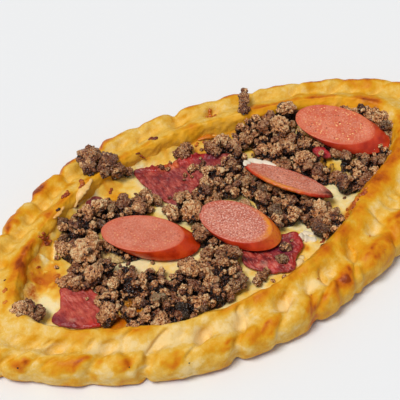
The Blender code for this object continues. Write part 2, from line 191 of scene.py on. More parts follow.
def fibres(tree, size, turn, detail=3.0):
    # noise drawn out along one direction, for meat fibres
    drawn = addNode(tree, "ShaderNodeMapping", {
        "Vector": objectSpot(tree), "Rotation": (0.0, 0.0, math.radians(turn)), "Scale": (1.0, 0.36, 1.0),
    }).outputs[0]
    return addNode(tree, "ShaderNodeTexNoise", {
        "Vector": drawn, "Scale": 1.0 / (size * mm), "Detail": detail,
    }).outputs["Fac"]


def cells(tree, size, feature="F1"):
    # how far each place is from the middle or the edge of its cell
    return addNode(tree, "ShaderNodeTexVoronoi", {
        "Vector": objectSpot(tree), "Scale": 1.0 / (size * mm),
    }, feature=feature).outputs["Distance"]


def times(tree, first, second):
    return addNode(tree, "ShaderNodeMath", {0: first, 1: second}, operation="MULTIPLY").outputs[0]


def plus(tree, first, second):
    return addNode(tree, "ShaderNodeMath", {0: first, 1: second}, operation="ADD").outputs[0]


def timesPlus(tree, first, second, third):
    inputs = {0: first, 1: second, 2: third}
    return addNode(tree, "ShaderNodeMath", inputs, operation="MULTIPLY_ADD").outputs[0]


def ripple(tree, size, amount, detail=3.0):
    # soft noise that is as often below nought as above it
    return timesPlus(tree, cloud(tree, size, detail), amount, -amount / 2)


def spread(tree, value, low, high, to0=0.0, to1=1.0):
    return addNode(tree, "ShaderNodeMapRange", {
        "Value": value, "From Min": low, "From Max": high, "To Min": to0, "To Max": to1,
    }).outputs[0]


def colourRamp(tree, value, stops):
    node = addNode(tree, "ShaderNodeValToRGB", {"Fac": value})
    elements = node.color_ramp.elements
    while len(elements) < len(stops):
        elements.new(0.5)
    for element, (place, colour) in zip(elements, stops):
        element.position = place
        element.color = (*fromScreen(colour), 1.0)
    return node.outputs["Color"]


def fromScreen(colour):
    # screen values 0 to 255 as linear light
    return [(c / 255 / 12.92) if c <= 10 else ((c / 255 + 0.055) / 1.055) ** 2.4 for c in colour]


def shaded(colour, factors):
    return tuple(int(value * factor) for value, factor in zip(colour, factors))


def mixColour(tree, factor, first, second, blend="MIX"):
    first, second = ((*fromScreen(c), 1.0) if isinstance(c, tuple) else c for c in (first, second))
    return addNode(tree, "ShaderNodeMix", {0: factor, 6: first, 7: second},
                   data_type="RGBA", blend_type=blend).outputs[2]


def painted(tree, name):
    return addNode(tree, "ShaderNodeAttribute", attribute_name=name).outputs["Fac"]


def bump(tree, shader, height, distance, strength):
    node = addNode(tree, "ShaderNodeBump", {
        "Height": height, "Distance": distance * mm, "Strength": strength,
    })
    tree.links.new(node.outputs["Normal"], shader.inputs["Normal"])


def setInput(tree, shader, socket, value):
    tree.links.new(value, shader.inputs[socket])


# the crust

loaf = dict(
    halfSize=(148.0, 77.0),
    stations=(1.013, 0.945, 0.908, 0.926, 0.989, 1.010, 0.966, 0.992,
              1.012, 0.933, 0.923, 0.974, 0.992, 0.963, 0.982, 1.010),
    ridgeHalfSize=(117.0, 54.0),
    ridgeStations=(0.970, 0.968, 0.962, 0.962, 1.036, 1.062, 1.012, 0.993,
                   1.010, 0.975, 0.970, 1.025, 1.022, 0.926, 0.845, 0.920),
    rows=(                                   # across, height, push out, push up
        (0.82, 0.0, 0.35, 0.0), (0.95, 2.2, 0.80, 0.0), (1.00, 7.0, 1.00, 0.0), (0.98, 12.5, 1.00, 0.4),
        (0.86, 17.0, 0.70, 1.0), (0.66, 18.9, 0.30, 1.0), (0.43, 17.2, 0.10, 0.4), (0.20, 19.4, 0.05, 0.1),
        (0.00, 21.2, 0.00, 0.0), (-0.07, 19.6, 0.00, 0.0), (-0.14, 14.5, 0.00, 0.0),
        (-0.22, 9.5, 0.00, 0.0), (-0.40, 6.0, 0.00, 0.0)),
    creases=(                                # arc length along the outline, strength
        (3.0, 0.6), (28.0, 0.5), (55.5, 0.4), (81.2, 0.6), (109.3, 0.7), (130.5, 0.5), (155.1, 0.7),
        (179.0, 0.5), (204.3, 0.9), (231.0, 0.7), (254.0, 0.9), (279.0, 0.6), (302.0, 0.7), (326.0, 0.8),
        (351.0, 0.6), (375.9, 0.8), (390.3, 0.6), (418.7, 0.9), (445.4, 1.0), (468.0, 0.4), (489.6, 1.0),
        (515.0, 0.4), (533.7, 0.9), (552.0, 0.6), (569.2, 0.8), (594.0, 0.6), (618.0, 0.8), (643.0, 0.6),
        (666.0, 0.8), (690.0, 0.6)),
    foldRise=4.5, foldDrop=2.2, foldOut=2.6, foldUp=2.8, foldMean=0.8, foldSlant=9.5,
    dimpleDepth=2.6, dimpleAcross=0.43, dimpleLength=3.4, dimpleWidth=0.16,
    lumpHeight=0.9, lumpSize=17.0,
    columns=960, undersideRows=8, rimRows=76, floorRows=5, softening=9,
    doughLumps=((10.0, 0.95), (4.6, 0.48), (1.8, 0.18), (0.8, 0.05)),        # size, height
    crestLumps=((8.5, 3.0, 0.9), (3.2, 7.0, 0.3)), crestWidth=0.09,          # size, seed, height
    wallLumps=((6.5, 0.7), (2.6, 0.35)), lipHeight=0.8,
    arcTones=((575, 45, 0.10), (430, 55, -0.10), (150, 35, -0.13), (272, 20, -0.16)),
    patchStrength=0.85, lipStrength=0.80,
)
# brown patches: arc length, across, half length along the rim, half width across it, turn, how brown
brownPatches = (
    (371, 0.69, 5, 3, 0, 0.4), (389, 0.88, 6, 2.2, -28, 0.6), (414, 0.68, 6.5, 2, 6, 0.55),
    (411, 0.8, 1.8, 4, 0, 0.4), (422, 0.8, 2, 4.6, 8, 0.5), (434, 0.88, 2.6, 4.4, -20, 0.5),
    (443, 0.88, 2.2, 3.4, 0, 0.3), (459, 0.92, 4.2, 2.2, -12, 0.6), (475, 0.83, 5, 3.4, 0, 0.25),
    (485, 0.84, 3.6, 1.7, -36, 0.6), (505, 0.82, 8, 2.8, -30, 0.6), (512, 0.7, 4.5, 2.6, -30, 0.3),
    (534, 0.86, 2.4, 7, -14, 0.75), (543, 0.8, 8, 3.6, -24, 0.4), (558, 0.76, 8.5, 3.6, -18, 0.8),
    (579, 0.73, 8, 3.4, -16, 0.75), (590, 0.7, 6, 4.4, 0, 0.35), (607, 0.62, 8, 4, -16, 0.6),
    (625, 0.74, 6.5, 3.6, -12, 0.6), (653, 0.78, 7, 3.6, 10, 0.55), (679, 0.8, 7, 3.4, 0, 0.5),
    (698, 0.76, 6, 3.4, 0, 0.5), (20, 0.74, 7, 3.6, 0, 0.45), (46, 0.84, 8, 3, 0, 0.45),
    (72, 0.86, 8, 2.6, 0, 0.5), (98, 0.86, 7, 2.4, 0, 0.4), (124, 0.88, 6, 2.6, 0, 0.35),
    (150, 0.84, 6, 2.4, 0, 0.45), (172, 0.88, 6, 2.6, 0, 0.45), (199, 0.88, 7, 2.8, 0, 0.5),
    (226, 0.86, 6.5, 2.8, 0, 0.45), (249, 0.8, 5.5, 3.4, 12, 0.85), (278, 0.76, 6.5, 4, 10, 0.8),
    (300, 0.86, 5, 4, 0, 0.4), (327, 0.6, 5, 3, 0, 0.35), (350, 0.8, 6, 3, 0, 0.35),
)
# golden lips along the top of the inner ridge: arc length, half length, how brown
ridgeLips = (
    (413, 7, 0.34), (431, 6, 0.5), (484, 7, 0.4), (503, 9, 0.55), (556, 8, 0.7), (530, 8, 0.25),
    (578, 6, 0.45), (604, 9, 0.5), (622, 6, 0.55), (640, 9, 0.65), (660, 9, 0.8), (681, 11, 0.7),
    (700, 8, 0.5), (18, 12, 0.5), (62, 14, 0.55), (93, 9, 0.45), (118, 8, 0.25), (140, 9, 0.3),
    (165, 9, 0.35), (186, 8, 0.35), (214, 9, 0.35), (243, 6, 0.55), (262, 9, 0.55), (285, 10, 0.7),
    (308, 10, 0.65), (330, 8, 0.4),
)
# soft pits pressed by the fingertips: arc length, across, half length, half width, depth
fingerPits = (
    (391, 0.4, 4.6, 4.2, 2), (407, 0.34, 3.6, 3.4, 1.3), (416, 0.3, 3.2, 3, 1.1),
    (471, 0.36, 3.4, 3.6, 2.9), (456, 0.3, 3, 3.4, 1.4), (497, 0.26, 3, 3.4, 1.5),
    (520, 0.34, 3.6, 4, 2.4), (547, 0.4, 3.6, 4.4, 2.8), (573, 0.3, 3.4, 4.4, 2.6), (590, 0.4, 4, 4, 1.8),
    (606, 0.36, 4.2, 4.2, 2), (632, 0.4, 4.6, 4.6, 2.2), (660, 0.42, 5, 4.6, 2), (690, 0.42, 4.6, 4.6, 2),
    (12, 0.42, 5, 4.4, 1.8), (42, 0.44, 6, 4, 1.6), (70, 0.44, 6, 3.6, 1.8), (98, 0.46, 6, 3.6, 1.4),
    (132, 0.44, 5, 3.6, 1.8), (149, 0.5, 5, 3, 1.7), (172, 0.44, 4.4, 3.4, 2), (192, 0.46, 5, 3.4, 1.5),
    (222, 0.46, 5.4, 3.6, 1.6), (244, 0.44, 4.6, 3.6, 2.2), (266, 0.46, 5, 4, 2.4),
    (292, 0.46, 5, 4.2, 2.2), (316, 0.46, 4.6, 4, 1.8), (344, 0.44, 4.6, 4, 1.8), (366, 0.42, 4.6, 4, 1.8),
)
# grooves between the folds, as walks of arc length and across, with half width and depth
foldGrooves = (
    (((444, 1.02), (446, 0.92), (445, 0.79), (442, 0.58), (442, 0.36), (446, 0.16)), 1.7, 1.9),
    (((437, 0.8), (431, 0.62), (425, 0.34), (423, 0.17), (426, 0)), 1.9, 1.5), (((492, 1.02), (490, 0.86),
    (492, 0.62), (492, 0.35), (489, 0.1)), 1.8, 1.8), (((519, 0.3), (518, 0.45), (516, 0.79),
    (512, 0.95)), 1.7, 1.3), (((546, 0.3), (545, 0.66), (539, 0.86), (536, 1)), 2, 1.7), (((576, 0.24),
    (571, 0.43), (562, 0.86), (563, 1)), 2, 1.7), (((407, 0.24), (408, 0.5), (404, 0.74)), 1.5, 0.9),
    (((398, 0.3), (400, 0.62), (396, 0.9)), 1.6, 0.9), (((470, 0.4), (468, 0.66), (465, 0.86)), 1.6, 1),
    (((606, 0.2), (600, 0.55), (594, 0.92)), 1.9, 1.3), (((384, 0.3), (380, 0.6), (376, 0.95)), 1.8, 1.1),
    (((249, 0.2), (254, 0.5), (256, 0.95)), 1.8, 1), (((272, 0.2), (279, 0.55), (281, 0.95)), 1.8, 1),
    (((200, 0.36), (204, 0.6), (206, 0.95)), 1.8, 0.9), (((151, 0.36), (155, 0.6), (157, 0.95)), 1.6,
    0.8), (((226, 0.36), (231, 0.6), (233, 0.95)), 1.6, 0.8), (((180, 0.4), (182, 0.3), (192, 0.24)), 1.2,
    0.9), (((626, 0.3), (620, 0.6), (615, 0.95)), 1.8, 1.1),
)
rimWidth = 28.0          # millimetres from the inner ridge to the outer edge, for distances across it
arcStep = 5.0            # the lists above are sorted into stretches of the rim this long


def blendStations(stations, turn):
    count = len(stations)
    spot = (turn % 1.0) * count
    index = int(spot)
    rows = [(stations[(index + step) % count],) for step in (-1, 0, 1, 2)]
    return smoothRow(rows, 1.0 + spot - index)[0]


def outlinePoint(halfSize, stations, turn):
    radius = blendStations(stations, turn)
    angle = math.tau * turn
    return Vector((halfSize[0] * radius * math.cos(angle), halfSize[1] * radius * math.sin(angle), 0.0))


def measureOutline():
    samples = 1440
    lengths = [0.0]
    last = outlinePoint(loaf["halfSize"], loaf["stations"], 0.0)
    for index in range(1, samples + 1):
        point = outlinePoint(loaf["halfSize"], loaf["stations"], index / samples)
        lengths.append(lengths[-1] + (point - last).length)
        last = point
    return lengths


outlineLengths = measureOutline()
perimeter = outlineLengths[-1]


def turnAt(length):
    length %= perimeter
    low = min(bisect_right(outlineLengths, length) - 1, len(outlineLengths) - 2)
    part = (length - outlineLengths[low]) / (outlineLengths[low + 1] - outlineLengths[low])
    return (low + part) / (len(outlineLengths) - 1)


def rimPlace(length, across):
    turn = turnAt(length + loaf["foldSlant"] * (1.0 - max(across, 0.0)))
    outer = outlinePoint(loaf["halfSize"], loaf["stations"], turn)
    ridge = outlinePoint(loaf["ridgeHalfSize"], loaf["ridgeStations"], turn)
    return ridge + (outer - ridge) * across, (outer - ridge).normalized()


creaseStarts = [start for start, strength in loaf["creases"]]


def foldAt(length):
    # how far past the last crease, how far before the next one, and how strong each is
    length %= perimeter
    creases = loaf["creases"]
    index = bisect_right(creaseStarts, length) - 1
    start, strength = creases[index]
    end, nextStrength = creases[(index + 1) % len(creases)]
    return (length - start) % perimeter, (end - length) % perimeter, strength, nextStrength


def rimPoint(length, row):
    across, height, out, up = row
    after, before, strength, nextStrength = foldAt(length)
    swell = (1.0 - strength * math.exp(-after / loaf["foldRise"])
             - nextStrength * math.exp(-(before / loaf["foldDrop"]) ** 2))
    dimple = math.exp(-(min(after, before) / loaf["dimpleLength"]) ** 2)
    spot, outward = rimPlace(length, across)
    lean = swell - loaf["foldMean"]
    dip = loaf["dimpleDepth"] * dimple * bell(across, loaf["dimpleAcross"], loaf["dimpleWidth"])
    lump = noise.noise(spot / loaf["lumpSize"]) * loaf["lumpHeight"]
    lump *= min(1.0, height / 12.0) * (across >= 0.0)
    spot = spot + outward * loaf["foldOut"] * out * lean
    spot.z = max(0.0, height + loaf["foldUp"] * up * lean - dip + lump)
    return spot


crustRows = loaf["undersideRows"] + loaf["rimRows"] + loaf["floorRows"]


def crustRow(along):
    # the row of the rim at a share of the whole skin, with how far it is drawn in to the middle
    row = along * crustRows
    if row < loaf["undersideRows"]:
        return loaf["rows"][0], row / loaf["undersideRows"]
    row -= loaf["undersideRows"]
    if row > loaf["rimRows"]:
        return loaf["rows"][-1], 1.0 - (row - loaf["rimRows"]) / loaf["floorRows"]
    return smoothRow(loaf["rows"], row / loaf["rimRows"] * (len(loaf["rows"]) - 1)), 1.0


def crustPoint(around, along):
    row, share = crustRow(along)
    spot = rimPoint(around * perimeter, row)
    return Vector((spot.x * share, spot.y * share, spot.z))


def arcGap(first, second):
    return (first - second + perimeter / 2) % perimeter - perimeter / 2


def byArc(items, arcs, reach):
    # the items that come near each stretch of the rim
    def near(item, index):
        return min(abs(arcGap(arcStep * index, arc)) for arc in arcs(item)) < reach + arcStep

    return [[item for item in items if near(item, index)] for index in range(int(perimeter / arcStep) + 2)]


patchesNear = byArc(brownPatches, lambda patch: [patch[0]], 18.0)
lipsNear = byArc(ridgeLips, lambda lip: [lip[0]], 26.0)
pitsNear = byArc(fingerPits, lambda paintedShade: [paintedShade[0]], 13.0)
groovesNear = byArc(foldGrooves, lambda groove: [arc for arc, across in groove[0]], 9.0)


def grooveGap(walk, arc, across):
    # how far a place on the rim is from a groove
    best = 99.0
    for (arcA, acrossA), (arcB, acrossB) in zip(walk, walk[1:]):
        ax, ay = arcGap(arc, arcA), (across - acrossA) * rimWidth
        bx, by = arcB - arcA, (acrossB - acrossA) * rimWidth
        part = min(1.0, max(0.0, (ax * bx + ay * by) / (bx * bx + by * by)))
        best = min(best, math.hypot(ax - bx * part, ay - by * part))
    return best


def crustDetail(vert, around, along):
    spot = vert.co
    row, share = crustRow(vert[along])
    if share < 1.0:
        return 0.0
    across, arc = row[0], vert[around] * perimeter
    index = int(arc / arcStep)
    wobble = 2.0 * noise.noise(spot / 6.0)
    press = 0.0
    for arcAt, acrossAt, long, wide, depth in pitsNear[index]:
        inArc = bell(arcGap(arc, arcAt) + wobble, 0.0, long)
        press += depth * inArc * bell((across - acrossAt) * rimWidth, 0.0, wide)
    for walk, wide, depth in groovesNear[index]:
        press += depth * bell(grooveGap(walk, arc + 0.4 * wobble, across), 0.0, wide)
    crest = -0.2
    for size, seed, height in loaf["crestLumps"]:
        crest += height * noise.noise(Vector((arc / size, 0.0, seed)))
    crest *= bell(across, 0.0, loaf["crestWidth"])
    wall = smoothStep(-0.02, -0.09, across) * layered(spot, loaf["wallLumps"])
    wall += loaf["lipHeight"] * bell(across, -0.105, 0.05)
    return layered(spot, loaf["doughLumps"]) * smoothStep(0.5, 5.0, spot.z) - press + crest + wall


def crustBrown(vert, around, along):
    row, share = crustRow(vert[along])
    across, spot = row[0], vert.co
    if share < 1.0:                                  # the underside and the floor
        return 0.35 + layered(spot, ((16.0, 0.35), (5.0, 0.2)))
    arc = vert[around] * perimeter
    index = int(arc / arcStep)
    after, before = foldAt(arc)[:2]
    phase = after / (after + before)
    far = smoothStep(-35.0, 20.0, spot.y)
    left = smoothStep(-80.0, -115.0, spot.x)
    bake = max(far, 0.6 * left)                      # the far side and the left end are baked darker
    warp = layered(spot, ((5.5, 3.4), (2.2, 1.6)))
    fray = 0.75 + 0.9 * noise.noise(spot / 3.0)
    brown = 0.26 - 0.07 * bake + 0.08 * noise.noise(spot / 2.4)
    brown += layered(spot, ((12.0, 0.24 + 0.16 * bake), (5.0, 0.16 + 0.14 * bake)))
    for arcAt, long, amount in loaf["arcTones"]:
        brown += amount * bell(arcGap(arc, arcAt), 0.0, long)
    brown += bell(across, 0.86, 0.15) * bell(phase, 0.66, 0.36) * (0.08 + 0.38 * bake)
    for arcAt, acrossAt, long, wide, turn, amount in patchesNear[index]:
        x, y = arcGap(arc, arcAt) + warp, (across - acrossAt) * rimWidth + 0.6 * warp
        c, s = math.cos(math.radians(turn)), math.sin(math.radians(turn))
        inPatch = bell(x * c + y * s, 0.0, long) * bell(y * c - x * s, 0.0, wide)
        brown += loaf["patchStrength"] * amount * max(0.0, fray) * inPatch
    for arcAt, long, amount in lipsNear[index]:
        onLip = bell(arcGap(arc, arcAt) + warp, 0.0, long) * bell(across + 0.03 * fray, 0.03, 0.12)
        brown += loaf["lipStrength"] * amount * onLip
    if across < 0.0:
        # on the inner wall: browner at the left end, and paler at the far side as painted light, where that
        # wall stands in shade
        brown += smoothStep(-0.02, -0.10, across) * (0.10 * left - 0.06 * far * (1.0 - left))
    brown += bell(across, 0.0, 0.10) * 0.12 * bake
    inValley = bell(across, 0.42, 0.18) * (0.5 + 0.5 * bell(min(after, before), 0.0, 6.0))
    brown -= 0.30 * inValley * (1.0 - 0.7 * far)
    brown -= 0.12 * bell(across, 0.99, 0.06) * (1.0 - bake)
    brown += 0.45 * bell(spot.z, 0.5, 1.0)           # darker brown along the very bottom edge, where it meets the floor
    return max(brown, 0.17 * bake)


def makeCrust(material):
    skin = wrapSkin(loaf["columns"], crustRows, crustPoint)
    around, along = (skin.verts.layers.float[name] for name in ("around", "along"))

    def paintedWallLight(vert):
        # painted light: the inner wall at the far side is lifted to a bright gold where it stands in shade
        inside = smoothStep(0.0, -0.08, crustRow(vert[along])[0][0])
        return inside * smoothStep(0.0, 30.0, vert.co.y) * smoothStep(-95.0, -70.0, vert.co.x)

    for _ in range(loaf["softening"]):
        bmesh.ops.smooth_vert(skin, verts=skin.verts, factor=0.5,
                              use_axis_x=True, use_axis_y=True, use_axis_z=True)
    skin.normal_update()
    pushOut(skin, lambda vert: crustDetail(vert, around, along))
    for vert in skin.verts:
        vert.co.z = max(0.0, vert.co.z)
    skin.normal_update()
    paint(skin, "brown", lambda vert: crustBrown(vert, around, along))
    paint(skin, "paintedWallLight", paintedWallLight)
    print("crust:", len(skin.faces), "faces")
    return finishPiece("crustSkin", skin, material, ["crust"])


dough = dict(
    tones=((0.0, (234, 202, 136)), (0.15, (227, 181, 78)), (0.32, (219, 156, 24)),       # pale to brown
           (0.54, (211, 128, 4)), (0.78, (192, 96, 2)), (1.0, (140, 56, 2))),
    # painted light on the far inner wall: its colour and how strongly it is mixed in
    wallLightTone=(255, 182, 36), wallLightStrength=0.62,
)


def doughMaterial():
    material, tree, shader = newMaterial("bakedDough", {
        "Roughness": 0.5, "IOR": 1.45, "Specular IOR Level": 0.22,
    })
    uneven = plus(tree, ripple(tree, 1.9, 0.38, 4.0), ripple(tree, 0.7, 0.14, 2.0))
    total = plus(tree, plus(tree, painted(tree, "brown"), ripple(tree, 7.0, 0.30)), uneven)
    colour = colourRamp(tree, total, dough["tones"])
    # painted light: the far inner wall is lifted to a bright gold where it stands in shade
    paintedWallLight = times(tree, painted(tree, "paintedWallLight"), dough["wallLightStrength"])
    colour = mixColour(tree, paintedWallLight, colour, dough["wallLightTone"])
    setInput(tree, shader, "Base Color", colour)
    setInput(tree, shader, "Roughness", spread(tree, total, 0.1, 0.8, 0.60, 0.42))
    height = plus(tree, cloud(tree, 1.1, 4.0), times(tree, cloud(tree, 3.0), 0.8))
    bump(tree, shader, height, 0.32, 0.8)
    return material


makeCrust(doughMaterial())

# the cheese

cheeseBed = dict(
    sideRows=((6.35, 1.4), (8.0, 0.8), (9.3, 0.3)),     # height, and clearance from the wall
    top=9.9, columns=560, bottomRows=4, edgeRows=6, filmRows=16, topRows=72,
    wave=0.40, waveSize=11.0,
    climb=((0, 2.4), (90, 4.0), (150, 5.0), (230, 5.6), (256, 9.6), (325, 8.4), (360, 3.4), (400, 1.8),
           (600, 2.0), (640, 3.4), (680, 2.4)),         # arc length, and how high it climbs the wall
)
# places on the cheese: x, y, reach, amount
oilSpots = (
    (-97, 6, 7, 0.22), (-90, 22, 10, 0.16), (-84, 30, 7, 0.16), (-104, -2, 5, 0.16), (-62, 38, 8, 0.2),
    (-12, 51, 10, 0.16), (-33, 47, 8, 0.12), (6, 50.5, 7, 0.16), (-92, 24, 8, 0.25), (-95, 16, 7, 0.3),
    (-66, -23, 6, 0.55), (-75, -25, 8, 0.5), (30, 37, 7, 0.55), (47, 31, 7, 0.45), (-36, 43, 7, 0.35),
    (66, 2, 6, 0.5), (26, -29, 3, 0.3), (12, -41, 5, 0.35), (-72, 30, 7, 0.4), (16.6, 36.3, 4, 0.6),
    (23.4, -38, 2.6, 0.5), (10.3, -9.7, 4, 0.4), (52.5, -21.5, 5, 0.3), (-27.8, 27.2, 5, 0.25),
    (22, 32.4, 5, 0.4), (-82.8, -23.4, 5, 0.4), (-97.1, 17.1, 3, 0.35), (44, 44, 8, 0.3),
    (-58.1, 5.6, 9, -0.3), (-49.8, 0, 9, -0.3), (-29.2, -13.9, 9, -0.3), (-12.3, 9.6, 7, -0.25),
    (-20.1, 22.9, 6, -0.25), (-100.5, 6.2, 4, -0.45), (-99.4, -1.6, 5, -0.55), (-89.8, 27, 3, -0.5),
    (32.4, -26.9, 6, -0.35), (57.3, -19.6, 6, -0.3), (28.6, -36.1, 4, -0.3), (-19.3, 48, 9, -0.25),
)
scorchSpots = (
    (-88.4, 15.6, 2.4, 0.8), (-104.8, 11.2, 4, 0.5), (-93, 27.9, 3, 0.5), (-82.9, 34.8, 2.2, 0.7),
    (24, -37, 1.6, 0.55), (-102, 15, 2.4, 0.4), (-97, 17, 1.2, 0.6), (-86, 34, 1.8, 0.5),
    (-92, 11, 1, 0.6), (-95, 21, 1.2, 0.5), (-90, 20, 0.9, 0.5), (-99, 21, 1.6, 0.5),
    (59.8, -32.2, 3, 0.9), (54.6, -35.4, 3, 0.9), (64.6, -31.7, 2.4, 0.8), (49.5, -38, 2, 0.5),
    (15, 45, 4, 0.35), (22, 43, 3, 0.35), (-55, 40, 5, 0.4), (-70, 40, 3, 0.5),
)
# raised wrinkles and strings: x, y of both ends, half width, height
cheeseStrings = (
    (24, -33, 30, -38.5, 0.5, 0.6), (26, -31, 33, -36, 0.45, 0.5), (28, -29, 35, -31, 0.6, 0.5),
    (-84, 26, -80, 31.5, 0.7, 0.9), (-79.5, 27, -76, 33, 0.6, 0.8), (-58, -24, -61.5, -18, 0.8, 1.6),
    (-99, 9, -92, 13, 0.6, 0.5), (-94, 20, -87, 22, 0.6, 0.5), (-90, 29, -86, 24, 0.6, 0.6),
    (50, -14, 58, -22, 0.7, 0.5), (54, -12, 62, -18, 0.6, 0.4), (-31, 33, -25, 29, 0.7, 0.4),
)


def wallAcross(height):
    wall = [row[:2] for row in loaf["rows"] if row[0] <= 0.0]
    for (across, top), (further, bottom) in zip(wall, wall[1:]):
        if bottom <= height <= top:
            return across + (further - across) * (top - height) / (top - bottom)
    return wall[-1][0]


def climbAt(arc):
    # how far the cheese film goes up the wall at a place round the rim
    stops = cheeseBed["climb"]
    arc %= perimeter
    index = bisect_right([stop for stop, height in stops], arc) - 1
    (start, low), (end, high) = stops[index], stops[(index + 1) % len(stops)]
    height = low + (high - low) * smoothStep(0.0, 1.0, (arc - start) / ((end - start) % perimeter))
    ragged = 0.9 + 0.45 * noise.noise(Vector((arc / 11.0, 2.0, 0.0)))
    ragged += 0.10 * noise.noise(Vector((arc / 4.0, 4.0, 0.0)))
    return height * max(0.15, ragged)


cheeseSpan = sum(cheeseBed[rows] for rows in ("bottomRows", "edgeRows", "filmRows", "topRows"))


def cheesePoint(around, along):
    bed = cheeseBed
    row = along * cheeseSpan
    arc = around * perimeter
    share = 1.0
    climb = climbAt(arc)
    if row < bed["bottomRows"]:
        (height, clearance), share = bed["sideRows"][0], row / bed["bottomRows"]
    elif row < bed["bottomRows"] + bed["edgeRows"]:
        height, clearance = smoothRow(bed["sideRows"], (row - bed["bottomRows"]) / bed["edgeRows"] * 2)
    else:
        row -= bed["bottomRows"] + bed["edgeRows"]
        part = min(1.0, row / bed["filmRows"])
        height = bed["top"] + climb * (1.0 - part) ** 2
        clearance = -0.9 + (2.0 + 0.75 * climb) * part ** 0.9
        share = 1.0 - max(0.0, row - bed["filmRows"]) / bed["topRows"]
    spot, outward = rimPlace(arc, wallAcross(height))
    spot = (spot - outward * clearance) * share
    spot.z = height
    if share < 1.0 and height == bed["top"]:
        wave = noise.noise(Vector((spot.x, spot.y, 0.0)) / bed["waveSize"]) - 0.25
        spot.z += bed["wave"] * wave * smoothStep(1.0, 0.95, share)
    return spot


def stringRise(x, y):
    rise = 0.0
    for ax, ay, bx, by, wide, tall in cheeseStrings:
        if abs(x - ax) + abs(y - ay) > 16.0:
            continue
        dx, dy = bx - ax, by - ay
        part = min(1.0, max(0.0, ((x - ax) * dx + (y - ay) * dy) / (dx * dx + dy * dy)))
        sway = 0.9 * noise.noise(Vector((x, y, 0.0)) / 2.5)
        rise = max(rise, tall * bell(math.hypot(x - ax - dx * part, y - ay - dy * part) + sway, 0.0, wide))
    return rise


def cheeseDetail(vert):
    if vert.normal.z < 0.05 or vert.co.z < 9.0:
        return 0.0
    spot = Vector((vert.co.x, vert.co.y, 0.0))
    nearest = noise.voronoi(spot / 3.4)[0][0]
    bubble = max(0.0, 0.55 - nearest) * max(0.0, noise.noise(spot / 12.0 + Vector((5, 0, 0)))) * 1.6
    wrinkle = abs(noise.noise(Vector((spot.x / 3.4, spot.y / 2.0, 4.0))))
    crease = 0.35 * (0.25 - wrinkle) * smoothStep(-0.1, 0.3, noise.noise(spot / 9.0 + Vector((0, 7, 0))))
    film = 0.35 * noise.noise(vert.co / 2.4) * smoothStep(10.4, 12.0, vert.co.z)
    return bubble + crease + film + 0.12 * noise.noise(spot / 2.2) - 0.05 + stringRise(vert.co.x, vert.co.y)


def spotSum(spots, x, y):
    return sum(amount * bell(math.hypot(x - px, y - py), 0.0, reach) for px, py, reach, amount in spots)


def cheeseOil(vert, around):
    spot = vert.co
    sway = noise.noise(spot / 4.0)
    x, y = spot.x + 2.5 * sway, spot.y + 2.5 * noise.noise(spot / 4.0 + Vector((9, 0, 0)))
    oil = 0.25 + spotSum(oilSpots, x, y) + layered(spot, ((11.0, 0.30), (3.4, 0.24)))
    climbed = (spot.z - cheeseBed["top"]) / climbAt(vert[around] * perimeter)
    oil += 0.34 * smoothStep(0.45 + 0.5 * sway, 1.1, climbed) * smoothStep(10.3, 11.5, spot.z)
    return oil - 0.5 * smoothStep(0.25, 0.7, stringRise(spot.x, spot.y))


def cheeseScorch(vert):
    # the marked places, and the top of the film on the wall
    high = smoothStep(12.5, 15.0, vert.co.z) * smoothStep(0.0, 0.4, noise.noise(vert.co / 5.0))
    return spotSum(scorchSpots, vert.co.x, vert.co.y) + 0.30 * high


def makeCheese(material):
    skin = wrapSkin(cheeseBed["columns"], cheeseSpan, cheesePoint)
    pushOut(skin, cheeseDetail)
    around = skin.verts.layers.float["around"]
    paint(skin, "oil", lambda vert: cheeseOil(vert, around))
    paint(skin, "scorch", cheeseScorch)
    print("cheese:", len(skin.faces), "faces")
    return finishPiece("cheeseSkin", skin, material, ["cheese"])


cheeseTones = dict(
    oily=((0.0, (246, 226, 170)), (0.20, (244, 210, 126)), (0.42, (238, 188, 70)),       # dry to oily
          (0.66, (226, 150, 20)), (1.0, (194, 96, 4))),
    scorched=((0.15, (220, 136, 34)), (0.55, (194, 98, 18)), (0.95, (136, 56, 12))),
)


def cheeseMaterial():
    material, tree, shader = newMaterial("meltedCheese", {
        "Roughness": 0.34, "IOR": 1.45, "Specular IOR Level": 0.4,
        "Subsurface Weight": 0.18, "Subsurface Radius": (0.004, 0.0025, 0.0010),
    })
    oil = plus(tree, painted(tree, "oil"), ripple(tree, 3.6, 0.6, 5.0))
    colour = colourRamp(tree, oil, cheeseTones["oily"])
    scorch = plus(tree, painted(tree, "scorch"), timesPlus(tree, cloud(tree, 1.6), 0.7, -0.4))
    burnt = colourRamp(tree, scorch, cheeseTones["scorched"])
    colour = mixColour(tree, spread(tree, scorch, 0.12, 0.5), colour, burnt)
    setInput(tree, shader, "Base Color", colour)
    setInput(tree, shader, "Roughness", spread(tree, cloud(tree, 3.0), 0.3, 0.7, 0.22, 0.46))
    bump(tree, shader, cloud(tree, 1.5, 4.0), 0.3, 0.7)
    return material


makeCheese(cheeseMaterial())

# the sausage slices

